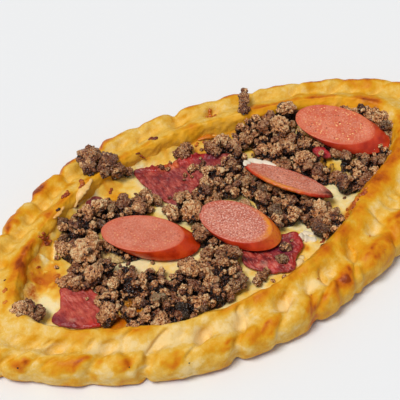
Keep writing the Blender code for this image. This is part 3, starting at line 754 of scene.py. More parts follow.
# middle of the face, heading of its long axis, half sizes, thickness, how far the underside slides along
sausages = {
    "sausage_1": dict(
        middle=(-42.5, 9.2, 18.5), heading=-39.2, half=(21.0, 11.7), thick=6.6, slide=8.6, tilt=0.0,
        face=(209, 121, 94), skin=(208, 62, 18), grain=0.36, pale=0.20, grainSize=0.70,
        dots=0.70, dotSize=2.6, specks=0.35, holes=0.6, gold=(90.0, 40.0, 0.0),
    ),
    "sausage_2": dict(
        middle=(0.1, -10.6, 19.0), heading=-58.0, half=(19.4, 12.6), thick=4.4, slide=5.8, tilt=0.0,
        face=(200, 120, 98), skin=(206, 60, 28), grain=1.7, pale=0.90, grainSize=0.95,
        dots=0.70, dotSize=1.6, specks=0.20, holes=0.8, gold=(18.0, 40.0, 1.15),
    ),
    "sausage_3": dict(
        middle=(81.6, 13.6, 20.0), heading=-53.2, half=(21.8, 13.4), thick=5.4, slide=9.4, tilt=0.0,
        face=(217, 120, 86), skin=(200, 62, 34), grain=0.60, pale=0.30, grainSize=0.75,
        dots=0.95, dotSize=2.8, specks=1.00, holes=1.0, gold=(60.0, 30.0, 0.2),
    ),
    "sausage_4": dict(
        middle=(39.2, -2.5, 18.7), heading=-60.0, half=(24.4, 10.8), thick=2.0, slide=0.6, tilt=26.0,
        face=(222, 134, 106), skin=(190, 44, 22), grain=1.8, pale=0.7, grainSize=0.85,
        dots=0.90, dotSize=1.8, specks=0.35, holes=0.4, gold=(268.0, 30.0, 1.1), pointed=0.34, burnt=1.0,
    ),
}
sliceTints = dict(pale=(248, 212, 196), dark=(156, 58, 42), warm=(204, 74, 40), speckAndGlint=(252, 206, 140),
                  dot=(116, 34, 22), gold=(226, 138, 28), burnt=(74, 30, 16))
# rows of the skin from the middle of the underside to the middle of the face
sliceRows = dict(columns=144, under=6, corner=5, side=9, face=30, edge=0.7, bulge=0.25)
sideStart = sliceRows["under"] + sliceRows["corner"]
cornerStart = sideStart + sliceRows["side"]
faceStart = cornerStart + sliceRows["corner"]
sliceSpan = faceStart + sliceRows["face"]


def sliceAxes(slab):
    # the directions along the slice and across it
    heading, tilt = math.radians(slab["heading"]), math.radians(slab["tilt"])
    level = Vector((-math.sin(heading), math.cos(heading), 0.0))
    return (Vector((math.cos(heading), math.sin(heading), 0.0)),
            level * math.cos(tilt) - Vector((0.0, 0.0, math.sin(tilt))))


def slicePoint(slab, around, along):
    rows = sliceRows
    edge = min(rows["edge"], slab["thick"] * 0.35)
    row = along * sliceSpan
    share, bow = 1.0, 0.0
    if row < rows["under"]:
        share, down, shrink = row / rows["under"], slab["thick"], edge
    elif row < sideStart:
        angle = math.pi / 2 * (row - rows["under"]) / rows["corner"]
        down, shrink = slab["thick"] - edge + edge * math.cos(angle), edge * (1 - math.sin(angle))
    elif row < cornerStart:
        part = (row - sideStart) / rows["side"]
        down, shrink = slab["thick"] - edge - (slab["thick"] - 2 * edge) * part, 0.0
        bow = rows["bulge"] * math.sin(math.pi * part)
    elif row < faceStart:
        angle = math.pi / 2 * (row - cornerStart) / rows["corner"]
        down, shrink = edge - edge * math.sin(angle), edge * (1 - math.cos(angle))
    else:
        share, down, shrink = 1.0 - (row - faceStart) / rows["face"], 0.0, edge
    turn = math.tau * around
    toward = Vector((math.cos(turn), math.sin(turn), 0.0))
    pointed = slab.get("pointed", 0.0)
    ragged = 1.0 + 0.012 * noise.noise(toward * 2 + Vector((0.0, 0.0, slab["heading"])))
    ragged += 0.12 * pointed * noise.noise(toward * 9)
    narrow = 1.0 - pointed * abs(math.cos(turn)) ** 3
    lengthways, sideways = sliceAxes(slab)
    halfLong, halfWide = ((half - shrink + bow) * ragged * share for half in slab["half"])
    return (Vector(slab["middle"]) - lengthways.cross(sideways) * down
            + lengthways * (halfLong * math.cos(turn) + slab["slide"] * down / slab["thick"])
            + sideways * halfWide * narrow * math.sin(turn))


def sliceRegion(along):
    # how far out on the face, and how much it is the skin of the side
    row = along * sliceSpan
    share = 1.0 - max(0.0, row - faceStart) / sliceRows["face"]
    skin = smoothStep(sliceRows["under"] - 2.5, sliceRows["under"] - 1.0, row)
    return share, skin * (1.0 - smoothStep(faceStart - 4.0, faceStart - 0.5, row))


def turnGap(around, turn):
    # degrees between a place round the slice and a turn
    return (around * 360.0 - turn + 180.0) % 360.0 - 180.0


def makeSausage(name, slab):
    skin = wrapSkin(sliceRows["columns"], sliceSpan, lambda around, along: slicePoint(slab, around, along))
    around, along = (skin.verts.layers.float[layer] for layer in ("around", "along"))
    seed = Vector((0.0, 0.0, slab["heading"]))
    goldTurn, goldWidth, goldAmount = slab["gold"]

    def relief(vert):
        spot = vert.co + seed
        nearest = noise.voronoi(spot / 2.0)[0][0]
        hole = -0.35 * slab["holes"] * smoothStep(0.16, 0.06, nearest) * (1.0 - sliceRegion(vert[along])[1])
        return layered(spot, ((5.0, 0.16), (1.3, 0.07))) + hole * (noise.noise(spot / 5) > 0)

    def gold(vert):
        # the golden fat just under the skin, on one side of the slice
        share, side = sliceRegion(vert[along])
        ring = smoothStep(0.82, 0.97, share + 0.05 * noise.noise(vert.co / 2.0)) * (1.0 - 0.45 * side)
        return goldAmount * bell(turnGap(vert[around], goldTurn), 0.0, goldWidth) * ring

    def burnt(vert):
        # the dark tip at the near end of the slice
        reach = smoothStep(0.78, 0.92, sliceRegion(vert[along])[0] + 0.05 * noise.noise(vert.co))
        return slab.get("burnt", 0.0) * bell(turnGap(vert[around], 0.0), 0.0, 24.0) * reach

    pushOut(skin, relief)
    paint(skin, "burnt", burnt)
    paint(skin, "share", lambda vert: sliceRegion(vert[along])[0])
    paint(skin, "side", lambda vert: sliceRegion(vert[along])[1])
    paint(skin, "gold", gold)
    print(name + ":", len(skin.faces), "faces")
    return finishPiece(name + "_slice", skin, sausageMaterial(name, slab), [name])


def sausageMaterial(name, slab):
    material, tree, shader = newMaterial(name + "_meat", {
        "Roughness": 0.4, "IOR": 1.45, "Specular IOR Level": 0.4,
        "Subsurface Weight": 0.10, "Subsurface Radius": (0.003, 0.0012, 0.0008),
    })
    face, skin, tints = slab["face"], slab["skin"], sliceTints
    pale = tuple(min(255, value + 18) for value in face)
    broad = plus(tree, times(tree, cloud(tree, 11.0, 2.0), 0.6), times(tree, cloud(tree, 1.1, 3.0), 0.4))
    colour = colourRamp(tree, broad, ((0.36, shaded(face, (0.94, 0.82, 0.78))), (0.50, face), (0.66, pale)))
    paleGrain = spread(tree, cloud(tree, slab["grainSize"], 2.0), 0.50, 0.64)
    colour = mixColour(tree, times(tree, paleGrain, 0.75 * slab["pale"]), colour, tints["pale"])
    darkGrain = spread(tree, cloud(tree, 1.1 * slab["grainSize"], 2.0), 0.48, 0.37)
    colour = mixColour(tree, times(tree, darkGrain, 0.42 * slab["grain"]), colour, tints["dark"])
    # warm blotches, with bright specks in them that are partly fat and partly painted glints
    warm = spread(tree, cloud(tree, 5.0, 4.0), 0.46, 0.60)
    colour = mixColour(tree, times(tree, warm, 0.55 * slab["specks"]), colour, tints["warm"])
    specks = times(tree, spread(tree, cells(tree, 1.5), 0.20, 0.34, 1.0, 0.0), warm)
    colour = mixColour(tree, times(tree, specks, 0.9 * slab["specks"]), colour, tints["speckAndGlint"])
    dots = spread(tree, cells(tree, slab["dotSize"]), 0.12, 0.24, 1.0, 0.0)
    dots = times(tree, dots, spread(tree, cloud(tree, 2.7), 0.46, 0.58))
    colour = mixColour(tree, times(tree, dots, 0.85 * slab["dots"]), colour, tints["dot"])
    # the skin, from the rim of the face down
    rim = spread(tree, painted(tree, "share"), 0.80, 0.99)
    rimTone = tuple(int(0.5 * a + 0.5 * b) for a, b in zip(face, skin))
    colour = mixColour(tree, times(tree, rim, 0.5), colour, rimTone)
    skinColour = colourRamp(tree, cloud(tree, 7.0, 3.0), (
        (0.34, shaded(skin, (0.84, 0.66, 0.60))), (0.55, skin), (0.74, shaded(skin, (1.08, 1.35, 1.25)))))
    colour = mixColour(tree, painted(tree, "side"), colour, skinColour)
    gold = times(tree, painted(tree, "gold"), spread(tree, cloud(tree, 1.4), 0.30, 0.52, 0.35, 1.0))
    colour = mixColour(tree, gold, colour, tints["gold"])
    colour = mixColour(tree, painted(tree, "burnt"), colour, tints["burnt"])
    setInput(tree, shader, "Base Color", colour)
    setInput(tree, shader, "Roughness", spread(tree, painted(tree, "side"), 0.0, 1.0, 0.42, 0.24))
    height = plus(tree, cloud(tree, 0.7, 3.0), times(tree, dots, -0.8))
    bump(tree, shader, height, 0.22, 0.6)
    return material


for sausageName, sausageSlab in sausages.items():
    makeSausage(sausageName, sausageSlab)

# the slices of cured meat

# spots on a slice are x, y, reach, amount
curedSlices = {
    "cured_slice_1": dict(
        outline=((-22, 51.4), (-12, 48), (-4, 46), (6, 45.5), (15, 41), (22, 36), (28, 32), (19, 28),
            (10, 24), (2, 23.5), (-8, 20), (-15, 18.5), (-20, 27), (-23, 40)),
        bottom=10.35, thick=1.6, wave=1.5, middle=(-3, 34), bead=(0, 0.4, 2.2), fibreTurn=8,
        tones=((76, 14, 16), (136, 38, 36), (172, 68, 56), (212, 124, 102)), streaks=0.34,
        purple=((12.6, 39.3, 5, 0.8), (-5, 38, 6, 0.4), (17.5, 35.2, 4, 0.6), (-21, 48, 4, 0.5)),
        bright=((5.8, 43, 5, 0.7), (14, 40.5, 4, 0.6), (-12, 46.5, 4, 0.4), (1.7, 27.8, 5, 0.3)),
        orange=((-3.3, 44.5, 3.6, 0.9), (-7.6, 45, 3, 0.7), (-1, 42, 2, 0.5)),
        fat=((10.9, 32.1, 3, 0.4), (-8, 24, 3, 0.3)),
    ),
    "cured_slice_2": dict(
        outline=((-92.5, 6.5), (-89, 6.5), (-84, 4), (-79, 0), (-78, -9), (-82, -16), (-85, -23),
            (-91, -22), (-98, -17.5), (-104, -11), (-104, -5.5), (-97, -2)),
        bottom=10.35, thick=1.6, wave=1, middle=(-90, -8), bead=(0.45, 0.8, 0.9), fibreTurn=-50,
        tones=((136, 40, 34), (172, 58, 48), (190, 80, 62), (208, 108, 86)), streaks=0.14,
        purple=((-101.7, -10, 4, 0.9), (-98, -16, 3, 0.8), (-104, -6, 3, 0.6)),
        bright=((-90, -21.5, 4, 0.8), (-85, -22, 3, 0.8), (-79, -6, 3, 0.4), (-95, 3, 4, 0.4)),
        orange=((-81, -1, 3, 0.3),),
        fat=((-96, -13, 2, 0.4),),
    ),
    "cured_slice_3": dict(
        outline=((-9, -31), (-5, -24), (2, -22), (14, -26), (22, -27.5), (25.3, -29.5), (24.6, -35),
            (21, -40), (16, -42), (10.5, -47.5), (2, -45), (-5, -39)),
        bottom=10.35, thick=1.6, wave=1.5, middle=(9, -34), bead=(0.3, 0.72, 1.5), fibreTurn=12,
        tones=((74, 12, 16), (134, 32, 30), (178, 60, 48), (220, 128, 104)), streaks=0.55,
        purple=((12, -33, 6.5, 0.9), (15, -37, 3, 0.6), (4, -27, 4, 0.4)),
        bright=((25, -33, 4, 1), (21, -40.5, 4, 0.9), (14, -45, 3.5, 0.7), (1, -42, 4, 0.5)),
        orange=(),
        fat=((17.5, -43.5, 1.8, 0.9), (0, -37, 3, 0.4)),
    ),
    "cured_slice_4": dict(
        outline=((64, 10), (69, 10), (71, 4), (69, 0), (64, 3)),
        bottom=12.6, thick=1.3, wave=0.5, middle=(67.5, 5.5), bead=(0, 0.3, 0.3), fibreTurn=0,
        tones=((120, 20, 34), (160, 30, 40), (184, 46, 50), (200, 90, 80)), streaks=0.3,
        purple=(),
        bright=((67, 5, 5, 0.4),),
        orange=(),
        fat=(),
    ),
    "cured_slice_5": dict(
        outline=((-56, 40), (-54, 45.5), (-48, 46), (-45, 42), (-48, 37), (-53, 36)),
        bottom=13.2, thick=1.3, wave=0.5, middle=(-51, 41), bead=(0, 0.3, 0.3), fibreTurn=0,
        tones=((56, 14, 18), (84, 26, 26), (110, 42, 36), (150, 76, 60)), streaks=0.2,
        purple=((-51, 41, 6, 0.3),),
        bright=(),
        orange=(),
        fat=(),
    ),
}
# rows of the skin from the middle of the underside over the edge to the middle of the top
curedRows = dict(perMillimetre=1.7, bottom=6, corner=4, top=30, flatShare=0.97, ragged=0.75, waveSize=13.0)
topStart = curedRows["bottom"] + curedRows["corner"]
curedSpan = topStart + curedRows["top"]
curedTints = dict(purple=(104, 26, 50), bright=(210, 32, 24), orange=(226, 104, 22), fat=(234, 186, 160))
curedEdge, paleStreakAndGlint = (140, 22, 22), (228, 158, 142)


def sideLengths(outline):
    return [(Vector(end) - Vector(start)).length for start, end in zip(outline, outline[1:] + outline[:1])]


def outlineSpot(outline, around):
    # a rounded walk along an outline by its length
    sides = sideLengths(outline)
    left = around * sum(sides)
    for index, side in enumerate(sides):
        if left <= side:
            break
        left -= side
    near = [outline[(index + step) % len(outline)] for step in (-1, 0, 1, 2)]
    return Vector(smoothRow(near, 1.0 + min(left / side, 1.0)))


def topShare(row):
    # how far out on the top: 0 in its middle
    return curedRows["flatShare"] * (1.0 - (row - topStart) / curedRows["top"])


def onBead(piece, around):
    # 1 along the stretch of the edge that curls up
    first, last = piece["bead"][:2]
    begun = smoothStep(first - 0.02, first + 0.05, around)
    return begun * (1.0 - smoothStep(last - 0.05, last + 0.02, around))


def curedPoint(piece, around, along):
    rows = curedRows
    flat = rows["flatShare"]
    row = along * curedSpan
    edge, middle = outlineSpot(piece["outline"], around), Vector(piece["middle"])
    ragged = rows["ragged"] * noise.noise(Vector((edge.x, edge.y, 1.0)) / 2.4)
    reach = (edge - middle).length
    if row < rows["bottom"]:
        share, rise = row / rows["bottom"] * flat, 0.0
    elif row < topStart:
        angle = math.pi * (row - rows["bottom"]) / rows["corner"]
        share, rise = flat + (1.0 - flat) * math.sin(angle), 0.5 - 0.5 * math.cos(angle)
    else:
        share, rise = topShare(row), 1.0
    x, y = middle + (edge - middle) * share * (reach + ragged * share ** 6 - 0.4) / reach
    wave = piece["wave"] * max(0.0, 0.35 + noise.noise(Vector((x, y, 3.0)) / rows["waveSize"]))
    lump = 0.6 + 0.8 * noise.noise(Vector((x, y, 0.0)) / 3.0) + 0.8 * noise.noise(Vector((x, y, 5.0)) / 1.5)
    curl = piece["bead"][2] * onBead(piece, around) * max(0.0, lump)
    curl *= bell(share * reach, reach * flat - 1.8, 1.7)
    return Vector((x, y, piece["bottom"] + wave + rise * (piece["thick"] * 0.85 + curl)))


def makeCured(name, piece):
    columns = int(sum(sideLengths(piece["outline"])) * curedRows["perMillimetre"])
    skin = wrapSkin(columns, curedSpan, lambda around, along: curedPoint(piece, around, along))
    around, along = (skin.verts.layers.float[layer] for layer in ("around", "along"))

    def relief(vert):
        if vert.normal.z < 0.0:
            return 0.0
        fibre = noise.noise(Vector((vert.co.x / 1.3, vert.co.y / 4.0, 0.0)))
        return 0.22 * fibre + layered(vert.co, ((2.0, 0.16), (6.0, 0.4)))

    def edgeness(vert):
        share = topShare(max(vert[along] * curedSpan, topStart))
        reach = (outlineSpot(piece["outline"], vert[around]) - Vector(piece["middle"])).length
        curled = onBead(piece, vert[around]) * bell(share * reach, reach - 1.0, 3.2)
        return max(bell(share * reach, reach, 1.4), curled)

    def spotted(spots, vert):
        swayX, swayY = (1.6 * noise.noise(vert.co / 2.6 + Vector((away, 0, 0))) for away in (0, 7))
        return spotSum(spots, vert.co.x + swayX, vert.co.y + swayY)

    pushOut(skin, relief)
    paint(skin, "edge", edgeness)
    for layer in curedTints:
        paint(skin, layer, lambda vert: spotted(piece[layer], vert))
    print(name + ":", len(skin.faces), "faces")
    return finishPiece(name + "_sheet", skin, curedMaterial(name, piece), [name])


def curedMaterial(name, piece):
    material, tree, shader = newMaterial(name + "_meat", {
        "Roughness": 0.32, "IOR": 1.45, "Specular IOR Level": 0.55,
        "Subsurface Weight": 0.06, "Subsurface Radius": (0.002, 0.0008, 0.0006),
    })
    turn = piece["fibreTurn"]
    drawn = fibres(tree, 1.6, turn, 4.0)
    body = plus(tree, times(tree, cloud(tree, 4.2, 4.0), 0.55), times(tree, drawn, 0.45))
    colour = colourRamp(tree, body, tuple(zip((0.32, 0.45, 0.56, 0.72), piece["tones"])))
    # pale streaks along the fibres: partly the meat's own fibres, partly painted glints
    streak = spread(tree, fibres(tree, 0.65, turn), 0.56, 0.68)
    colour = mixColour(tree, times(tree, streak, piece["streaks"]), colour, paleStreakAndGlint)
    rough = ripple(tree, 1.2, 1.0)
    for layer, tint in curedTints.items():
        amount = plus(tree, painted(tree, layer), times(tree, rough, 0.5))
        colour = mixColour(tree, spread(tree, amount, 0.15, 0.85, 0.0, 0.8), colour, tint)
    edge = plus(tree, painted(tree, "edge"), times(tree, rough, 0.8))
    colour = mixColour(tree, spread(tree, edge, 0.5, 1.1, 0.0, 0.55), colour, curedEdge)
    setInput(tree, shader, "Base Color", colour)
    setInput(tree, shader, "Roughness", spread(tree, cloud(tree, 1.6), 0.35, 0.65, 0.20, 0.46))
    bump(tree, shader, plus(tree, cloud(tree, 0.9, 4.0), fibres(tree, 0.8, turn)), 0.40, 0.8)
    return material


for curedName, curedPiece in curedSlices.items():
    makeCured(curedName, curedPiece)

# the minced beef

beef = dict(
    seed=7, shapes=12, shapeReach={4: 5.0, 3: 2.4, 2: 1.0},      # subdivisions of a lump, and its reach
    granule=(1.8, 2.8), coreVoxel=0.85,
    # number, reach, spacing, how far it stands out, room beside the slices
    lumps=(130, (3.0, 5.2), 0.94, 0.25, 0.8), crumbs=(480, (1.6, 3.1), 0.84, 0.4, 0.8),
    grains=(700, (0.7, 1.4), 0.7, 1.2, 0.9),
    tones=((0.0, (255, 224, 172)), (0.20, (246, 186, 128)), (0.42, (198, 124, 66)),      # from lit tops to the painted shade deep in the cracks
           (0.72, (80, 37, 18)), (1.0, (14, 7, 5))),
    shades=((0.0, (150, 118, 112)), (0.35, (216, 196, 186)), (0.7, (255, 246, 238)),     # lump to lump
            (1.0, (255, 255, 250))),
    fat=((0.0, (252, 226, 176)), (0.4, (226, 172, 66)), (0.8, (206, 122, 16))), char=(16, 11, 11),
)
# gaps where cheese and fat show between the lumps: x, y, reach, how oily
bareSpots = (
    (-62, 9.5, 3.4, 0.25), (-60.5, 6, 3.6, 0.25), (-58.5, 2.5, 3.2, 0.2), (-57, -0.5, 2.6, 0.2),
    (-71, -21.5, 3, 0.7), (-66.1, -21.6, 2.8, 0.8), (-78, -24.2, 2.6, 0.5), (-81.6, -23.4, 2.2, 0.45),
    (66.2, -7.6, 3.2, 0.45), (64.6, -4.4, 2.4, 0.5), (68.5, -14, 2.8, 0.3), (62, 7, 2.2, 0.5),
    (37.7, 28, 2.4, 0.55), (64, -0.5, 2.2, 0.6),
)
# lumps that stand out: x, y, z, reach, how charred
standingLumps = (
    (29, -21.4, 15.5, 5.6, 0), (40.8, -26, 15.5, 6.2, 0), (43.9, -32.3, 13.5, 3.6, 0.1),
    (41.2, -40.3, 13.6, 3.8, 0.7), (30.3, -45, 12.6, 2.4, 0.85), (38.1, -32.3, 13, 2.6, 0.7),
    (-50.9, -41.2, 14.2, 3.3, 1), (-50, -38.2, 16, 2.4, 1), (-19.3, -40, 14.4, 4, 0.55),
    (-84.8, 4, 14, 4.2, 0), (-87.8, 8.8, 12.2, 3, 0), (-80.9, -21, 14.4, 6, 0),
    (-64.9, -22.4, 12.6, 3.6, 0), (-70.1, 16.2, 16.4, 6.4, 0), (-77.9, 29.6, 12.4, 3.4, 0.1),
    (-74.5, 31.5, 13, 2.6, 0.1), (-67.8, 31.7, 16.4, 4.4, 0.2), (-14.8, -0.5, 12.6, 3.6, 0.45),
    (-25.2, 33.5, 12.4, 3.2, 0.1), (-22.1, 27.6, 12.2, 3.4, 0.2), (-21.8, 19.4, 12, 3, 0),
    (106.2, -1.4, 15.6, 4.6, 0.2), (104.1, -4.5, 13.4, 4, 0.4), (100.5, -9, 14, 4.2, 0.3),
    (96, -14.4, 13.6, 4, 0.3), (90.1, -16.8, 13.2, 3.8, 0.4), (107.5, 6, 15.8, 4.4, 0.1),
    (104, 12.5, 15.8, 4.2, 0.1), (99.5, 17.5, 15.4, 4, 0), (28.2, 40.5, 14.6, 4.2, 0.1),
    (8.2, -39.6, 13.2, 2.5, 0.6), (-116.2, 2.2, 20.2, 3.4, 0.05), (-117.6, -1.6, 20.6, 2.5, 0.2),
)
# crumbs of beef lying on the cheese and the slices: x, y, reach
looseCrumbs = (
    (-1.1, 32.9, 1.5), (-3, 31, 1), (3.4, 34.1, 2.1), (7, 33.5, 1.7), (10.4, 34, 2.2), (8, 31, 1.2),
    (1.5, 30.2, 0.9), (-6, 41.8, 1.3), (-8.5, 44, 1.6), (-2.5, 44.8, 1), (12, 38, 1.1), (-60, -14, 1.2),
    (-57, 10, 1), (-45, -4, 1.2), (50.3, -14.5, 1.3), (53, -11.5, 1.8), (56, -9, 1.4), (47, -22, 1.2),
    (16, 22.5, 1.1), (-16, 25, 1), (-84, -6, 0.9), (-72, -27.5, 1.8), (-69, -30, 1.5), (-75, -29, 1.2),
    (4, -47.5, 1.1), (-2, -46.5, 1.3), (19, -33, 1), (33, -29, 1.2), (-36, 40, 1.4), (-39, 36.5, 1.1),
    (-90, 12.5, 1.2), (-86, 20, 1.6), (-83, 25, 1.4), (20, 43, 1.5), (24, 41, 1.9), (17.5, 45, 1),
    (60, -24, 1),
)
darkClumps = {"beef_clump_5": 0.5}
beefClumps = {
    "beef_clump_1": ((-39.8, 64.3, 23.5, 5.6), (-42.5, 59.5, 21.5, 4.8), (-33.5, 57.0, 20.5, 4.8),
                     (-37.0, 55.0, 18.5, 4.4), (-30.2, 52.6, 17.0, 4.2), (-25.2, 50.8, 14.0, 3.2)),
    "beef_clump_2": ((-111.5, 1.8, 17.6, 4.6), (-108.0, -1.6, 14.4, 4.2), (-114.8, -1.4, 17.6, 3.6),
                     (-112.0, -4.0, 15.6, 3.4)),
    "beef_clump_3": ((7.3, 46.4, 14.0, 3.8), (4.4, 47.4, 13.6, 2.8), (10.0, 47.0, 14.2, 2.9)),
    "beef_clump_4": ((46.6, 47.8, 22.4, 3.5), (48.6, 50.6, 23.6, 3.3), (50.4, 53.2, 25.0, 2.9),
                     (51.9, 55.4, 26.4, 2.2)),
    "beef_clump_5": ((13.2, -34.7, 13.6, 2.7), (15.2, -36.0, 13.3, 2.1)),
    "beef_clump_6": ((-10.0, -43.6, 12.4, 2.7), (-6.4, -42.3, 12.8, 2.9), (-2.9, -41.6, 13.0, 2.4)),
}


def granules(spot, size):
    # 0 in the cracks between granules, 1 on their tops
    distances, points = noise.voronoi(spot / size)
    return min(1.0, (distances[1] - distances[0]) / 0.45) ** 0.7


def warped(spot, reach, amount):
    return spot + noise.noise_vector(spot / reach) * amount


def meatLump(reach, detail, rng):
    # a rough ball of granules, as a mesh to copy
    lump = bmesh.new()
    bmesh.ops.create_icosphere(lump, subdivisions=detail, radius=1.0)
    seed = Vector([rng.uniform(-50, 50) for _ in range(3)])
    stretch = Vector([rng.uniform(0.62, 1.28) for _ in range(3)])
    size = rng.uniform(*beef["granule"])
    paintedShade = lump.verts.layers.float.new("paintedShade")
    fade = min(1.0, reach / 3.0)
    for vert in lump.verts:
        spot = vert.co * stretch * reach
        knob = 0.36 * noise.noise(vert.co * 1.2 + seed) + 0.24 * noise.noise(vert.co * 2.6 + seed)
        spot *= 1.0 + knob
        place = warped(spot + seed, 2.6, 1.1)
        coarse = granules(place, size)
        fine = granules(place * 2.0, size)
        vert.co = spot * (1.0 + (0.42 * size * (coarse - 0.7) + 0.38 * (fine - 0.5)) * fade / reach)
        # painted shade: darker in the cracks between granules, lighter on the bulges
        vert[paintedShade] = 0.62 * smoothStep(0.50, 0.0, coarse) + 0.22 * (1.0 - fine) - 0.8 * knob
    bmesh.ops.recalc_face_normals(lump, faces=lump.faces)
    return toMesh(lump, "meatLump")


def startCluster():
    cluster = bmesh.new()
    for layer in ("paintedShade", "tone", "char"):
        cluster.verts.layers.float.new(layer)
    return cluster


def pieceTree(name):
    return treeOf(shapeOf(bpy.data.objects[name].data))


heapTree = treeOf(nodeShape("beef_heap"))
sheetTrees = [pieceTree(name + "_sheet") for name in curedSlices]
sliceTrees = [pieceTree(name + "_slice") for name in sausages]
keepClear = [*sheetTrees, *sliceTrees]
groundTrees = [pieceTree("crustSkin"), pieceTree("cheeseSkin"), *sheetTrees]
dropHeight, down = 60.0, Vector((0.0, 0.0, -1.0))


def dropOn(tree, x, y):
    # where a thing dropped at x, y lands on a piece, if it does
    return tree.ray_cast(Vector((x, y, dropHeight)), down)[0]


def topOf(trees, x, y):
    hits = [dropOn(tree, x, y) for tree in trees]
    return max([hit.z for hit in hits if hit is not None], default=0.0)


def addLump(cluster, mesh, spot, scale, rng, tone=None, char=0.0, buried=True):
    count = len(cluster.verts)
    cluster.from_mesh(mesh)
    cluster.verts.ensure_lookup_table()
    fresh = cluster.verts[count:]
    axis = Vector((rng.uniform(-1, 1), rng.uniform(-1, 1), rng.uniform(-1, 1))).normalized()
    turn = Matrix.Translation(spot) @ Matrix.Rotation(rng.uniform(0.0, math.tau), 4, axis)
    turn = turn @ Matrix.Scale(scale, 4)
    bmesh.ops.transform(cluster, matrix=turn, verts=fresh)
    layers = cluster.verts.layers.float
    paintedShadeLayer, toneLayer, charLayer = layers["paintedShade"], layers["tone"], layers["char"]
    value = rng.random() if tone is None else tone
    lift = max(vert.co.z for vert in fresh) - spot.z
    for vert in fresh:
        vert[toneLayer] = value
        vert[charLayer] = char
        # painted shade on the underside of each lump
        vert[paintedShadeLayer] += 0.70 * smoothStep(0.55, -0.70, (vert.co.z - spot.z) / lift)
        if buried:
            # painted shade: darker the deeper it lies between its neighbours
            depth = vert.co.z - topOf([heapTree], vert.co.x, vert.co.y)
            vert[paintedShadeLayer] += 0.48 * smoothStep(1.6, -1.0, depth)


def clearance(spot):
    return min(tree.find_nearest(spot)[3] for tree in keepClear)


def besideSlices(spot, size):
    # moved off a slice that it would cut into
    for tree in sliceTrees:
        near, normal, _, gap = tree.find_nearest(spot)
        inside = (spot - near).dot(normal) < 0.0
        if inside or gap < 0.9 * size:
            spot = near + (normal if inside else (spot - near).normalized()) * 0.9 * size
    return spot


def scatterBeef(rng, kind, placed=()):
    # spots on top of the heap, each clear of the slices and of those before it
    number, reach, spacing, rise, room = beef[kind]
    low, high = (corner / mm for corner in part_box("beef_heap"))
    chosen = []
    for _ in range(number * 40):
        if len(chosen) == number:
            break
        x, y = rng.uniform(low.x, high.x), rng.uniform(low.y, high.y)
        hit = dropOn(heapTree, x, y)
        if hit is None or hit.z < 11.0:
            continue
        size = rng.uniform(*reach)
        spot = hit + Vector((0.0, 0.0, size * rise))
        if any(math.hypot(x - other.x, y - other.y) < spacing * (size + otherSize)
               for other, otherSize in [*placed, *chosen]):
            continue
        if any(math.hypot(x - gapX, y - gapY) < 0.8 * gap + 0.7 * size for gapX, gapY, gap, _ in bareSpots):
            continue
        free = clearance(spot)
        if free < size * room:
            size = free / room
            if size < reach[0] * 0.8:
                continue
        chosen.append((spot, size))
    return chosen


def makeBeef(material):
    rng = random.Random(beef["seed"])
    base = beef["shapeReach"]
    shapes = {detail: [meatLump(reach, detail, rng) for _ in range(beef["shapes"])]
              for detail, reach in base.items()}
    standing = [(Vector((x, y, z)), size) for x, y, z, size, _ in standingLumps]
    lumps = scatterBeef(rng, "lumps", standing)
    crumbs, grains = scatterBeef(rng, "crumbs"), scatterBeef(rng, "grains")
    kinds = (("beefLumps", 4, lumps), ("beefCrumbs", 3, crumbs), ("beefGrains", 2, grains))
    for name, detail, spots in kinds:
        cluster = startCluster()
        for spot, size in spots:
            char = 0.75 * smoothStep(0.86, 1.0, rng.random())
            addLump(cluster, rng.choice(shapes[detail]), spot, size / base[detail], rng, char=char)
        print(name + ":", len(spots), "pieces,", len(cluster.faces), "faces")
        finishPiece(name, cluster, material)
    cluster = startCluster()
    for x, y, z, size, char in standingLumps:
        spot = besideSlices(Vector((x, y, z)), size)
        tone = rng.uniform(0.45, 0.85)
        addLump(cluster, rng.choice(shapes[4]), spot, size / base[4], rng, tone, char, buried=False)
    for x, y, size in looseCrumbs:
        spot = Vector((x, y, topOf(groundTrees, x, y) + 0.5 * size))
        addLump(cluster, rng.choice(shapes[3]), spot, size / base[3], rng, buried=False)
    print("beefLoose:", len(cluster.faces), "faces")
    finishPiece("beefLoose", cluster, material)
    for name, balls in beefClumps.items():
        cluster = startCluster()
        for x, y, z, size in balls:
            addLump(cluster, rng.choice(shapes[4]), Vector((x, y, z)), size / base[4] * 0.94, rng,
                    tone=rng.uniform(0.0, 0.4), char=darkClumps.get(name, 0.15), buried=False)
            for _ in range(6):
                away = Vector((rng.uniform(-1, 1), rng.uniform(-1, 1), rng.uniform(-0.4, 1))).normalized()
                addLump(cluster, rng.choice(shapes[3]), Vector((x, y, z)) + away * size * 0.74,
                        size * rng.uniform(0.30, 0.46) / base[3], rng, buried=False)
        finishPiece(name + "_mince", cluster, material, [name])


def evenMesh(mesh):
    # the same form remeshed in small even faces
    item = addItem("core", mesh)
    remesh = item.modifiers.new("remesh", "REMESH")
    remesh.mode = "VOXEL"
    remesh.voxel_size = beef["coreVoxel"] * mm
    even = bpy.data.meshes.new_from_object(item.evaluated_get(bpy.context.evaluated_depsgraph_get()))
    bpy.data.objects.remove(item, do_unlink=True)
    return even


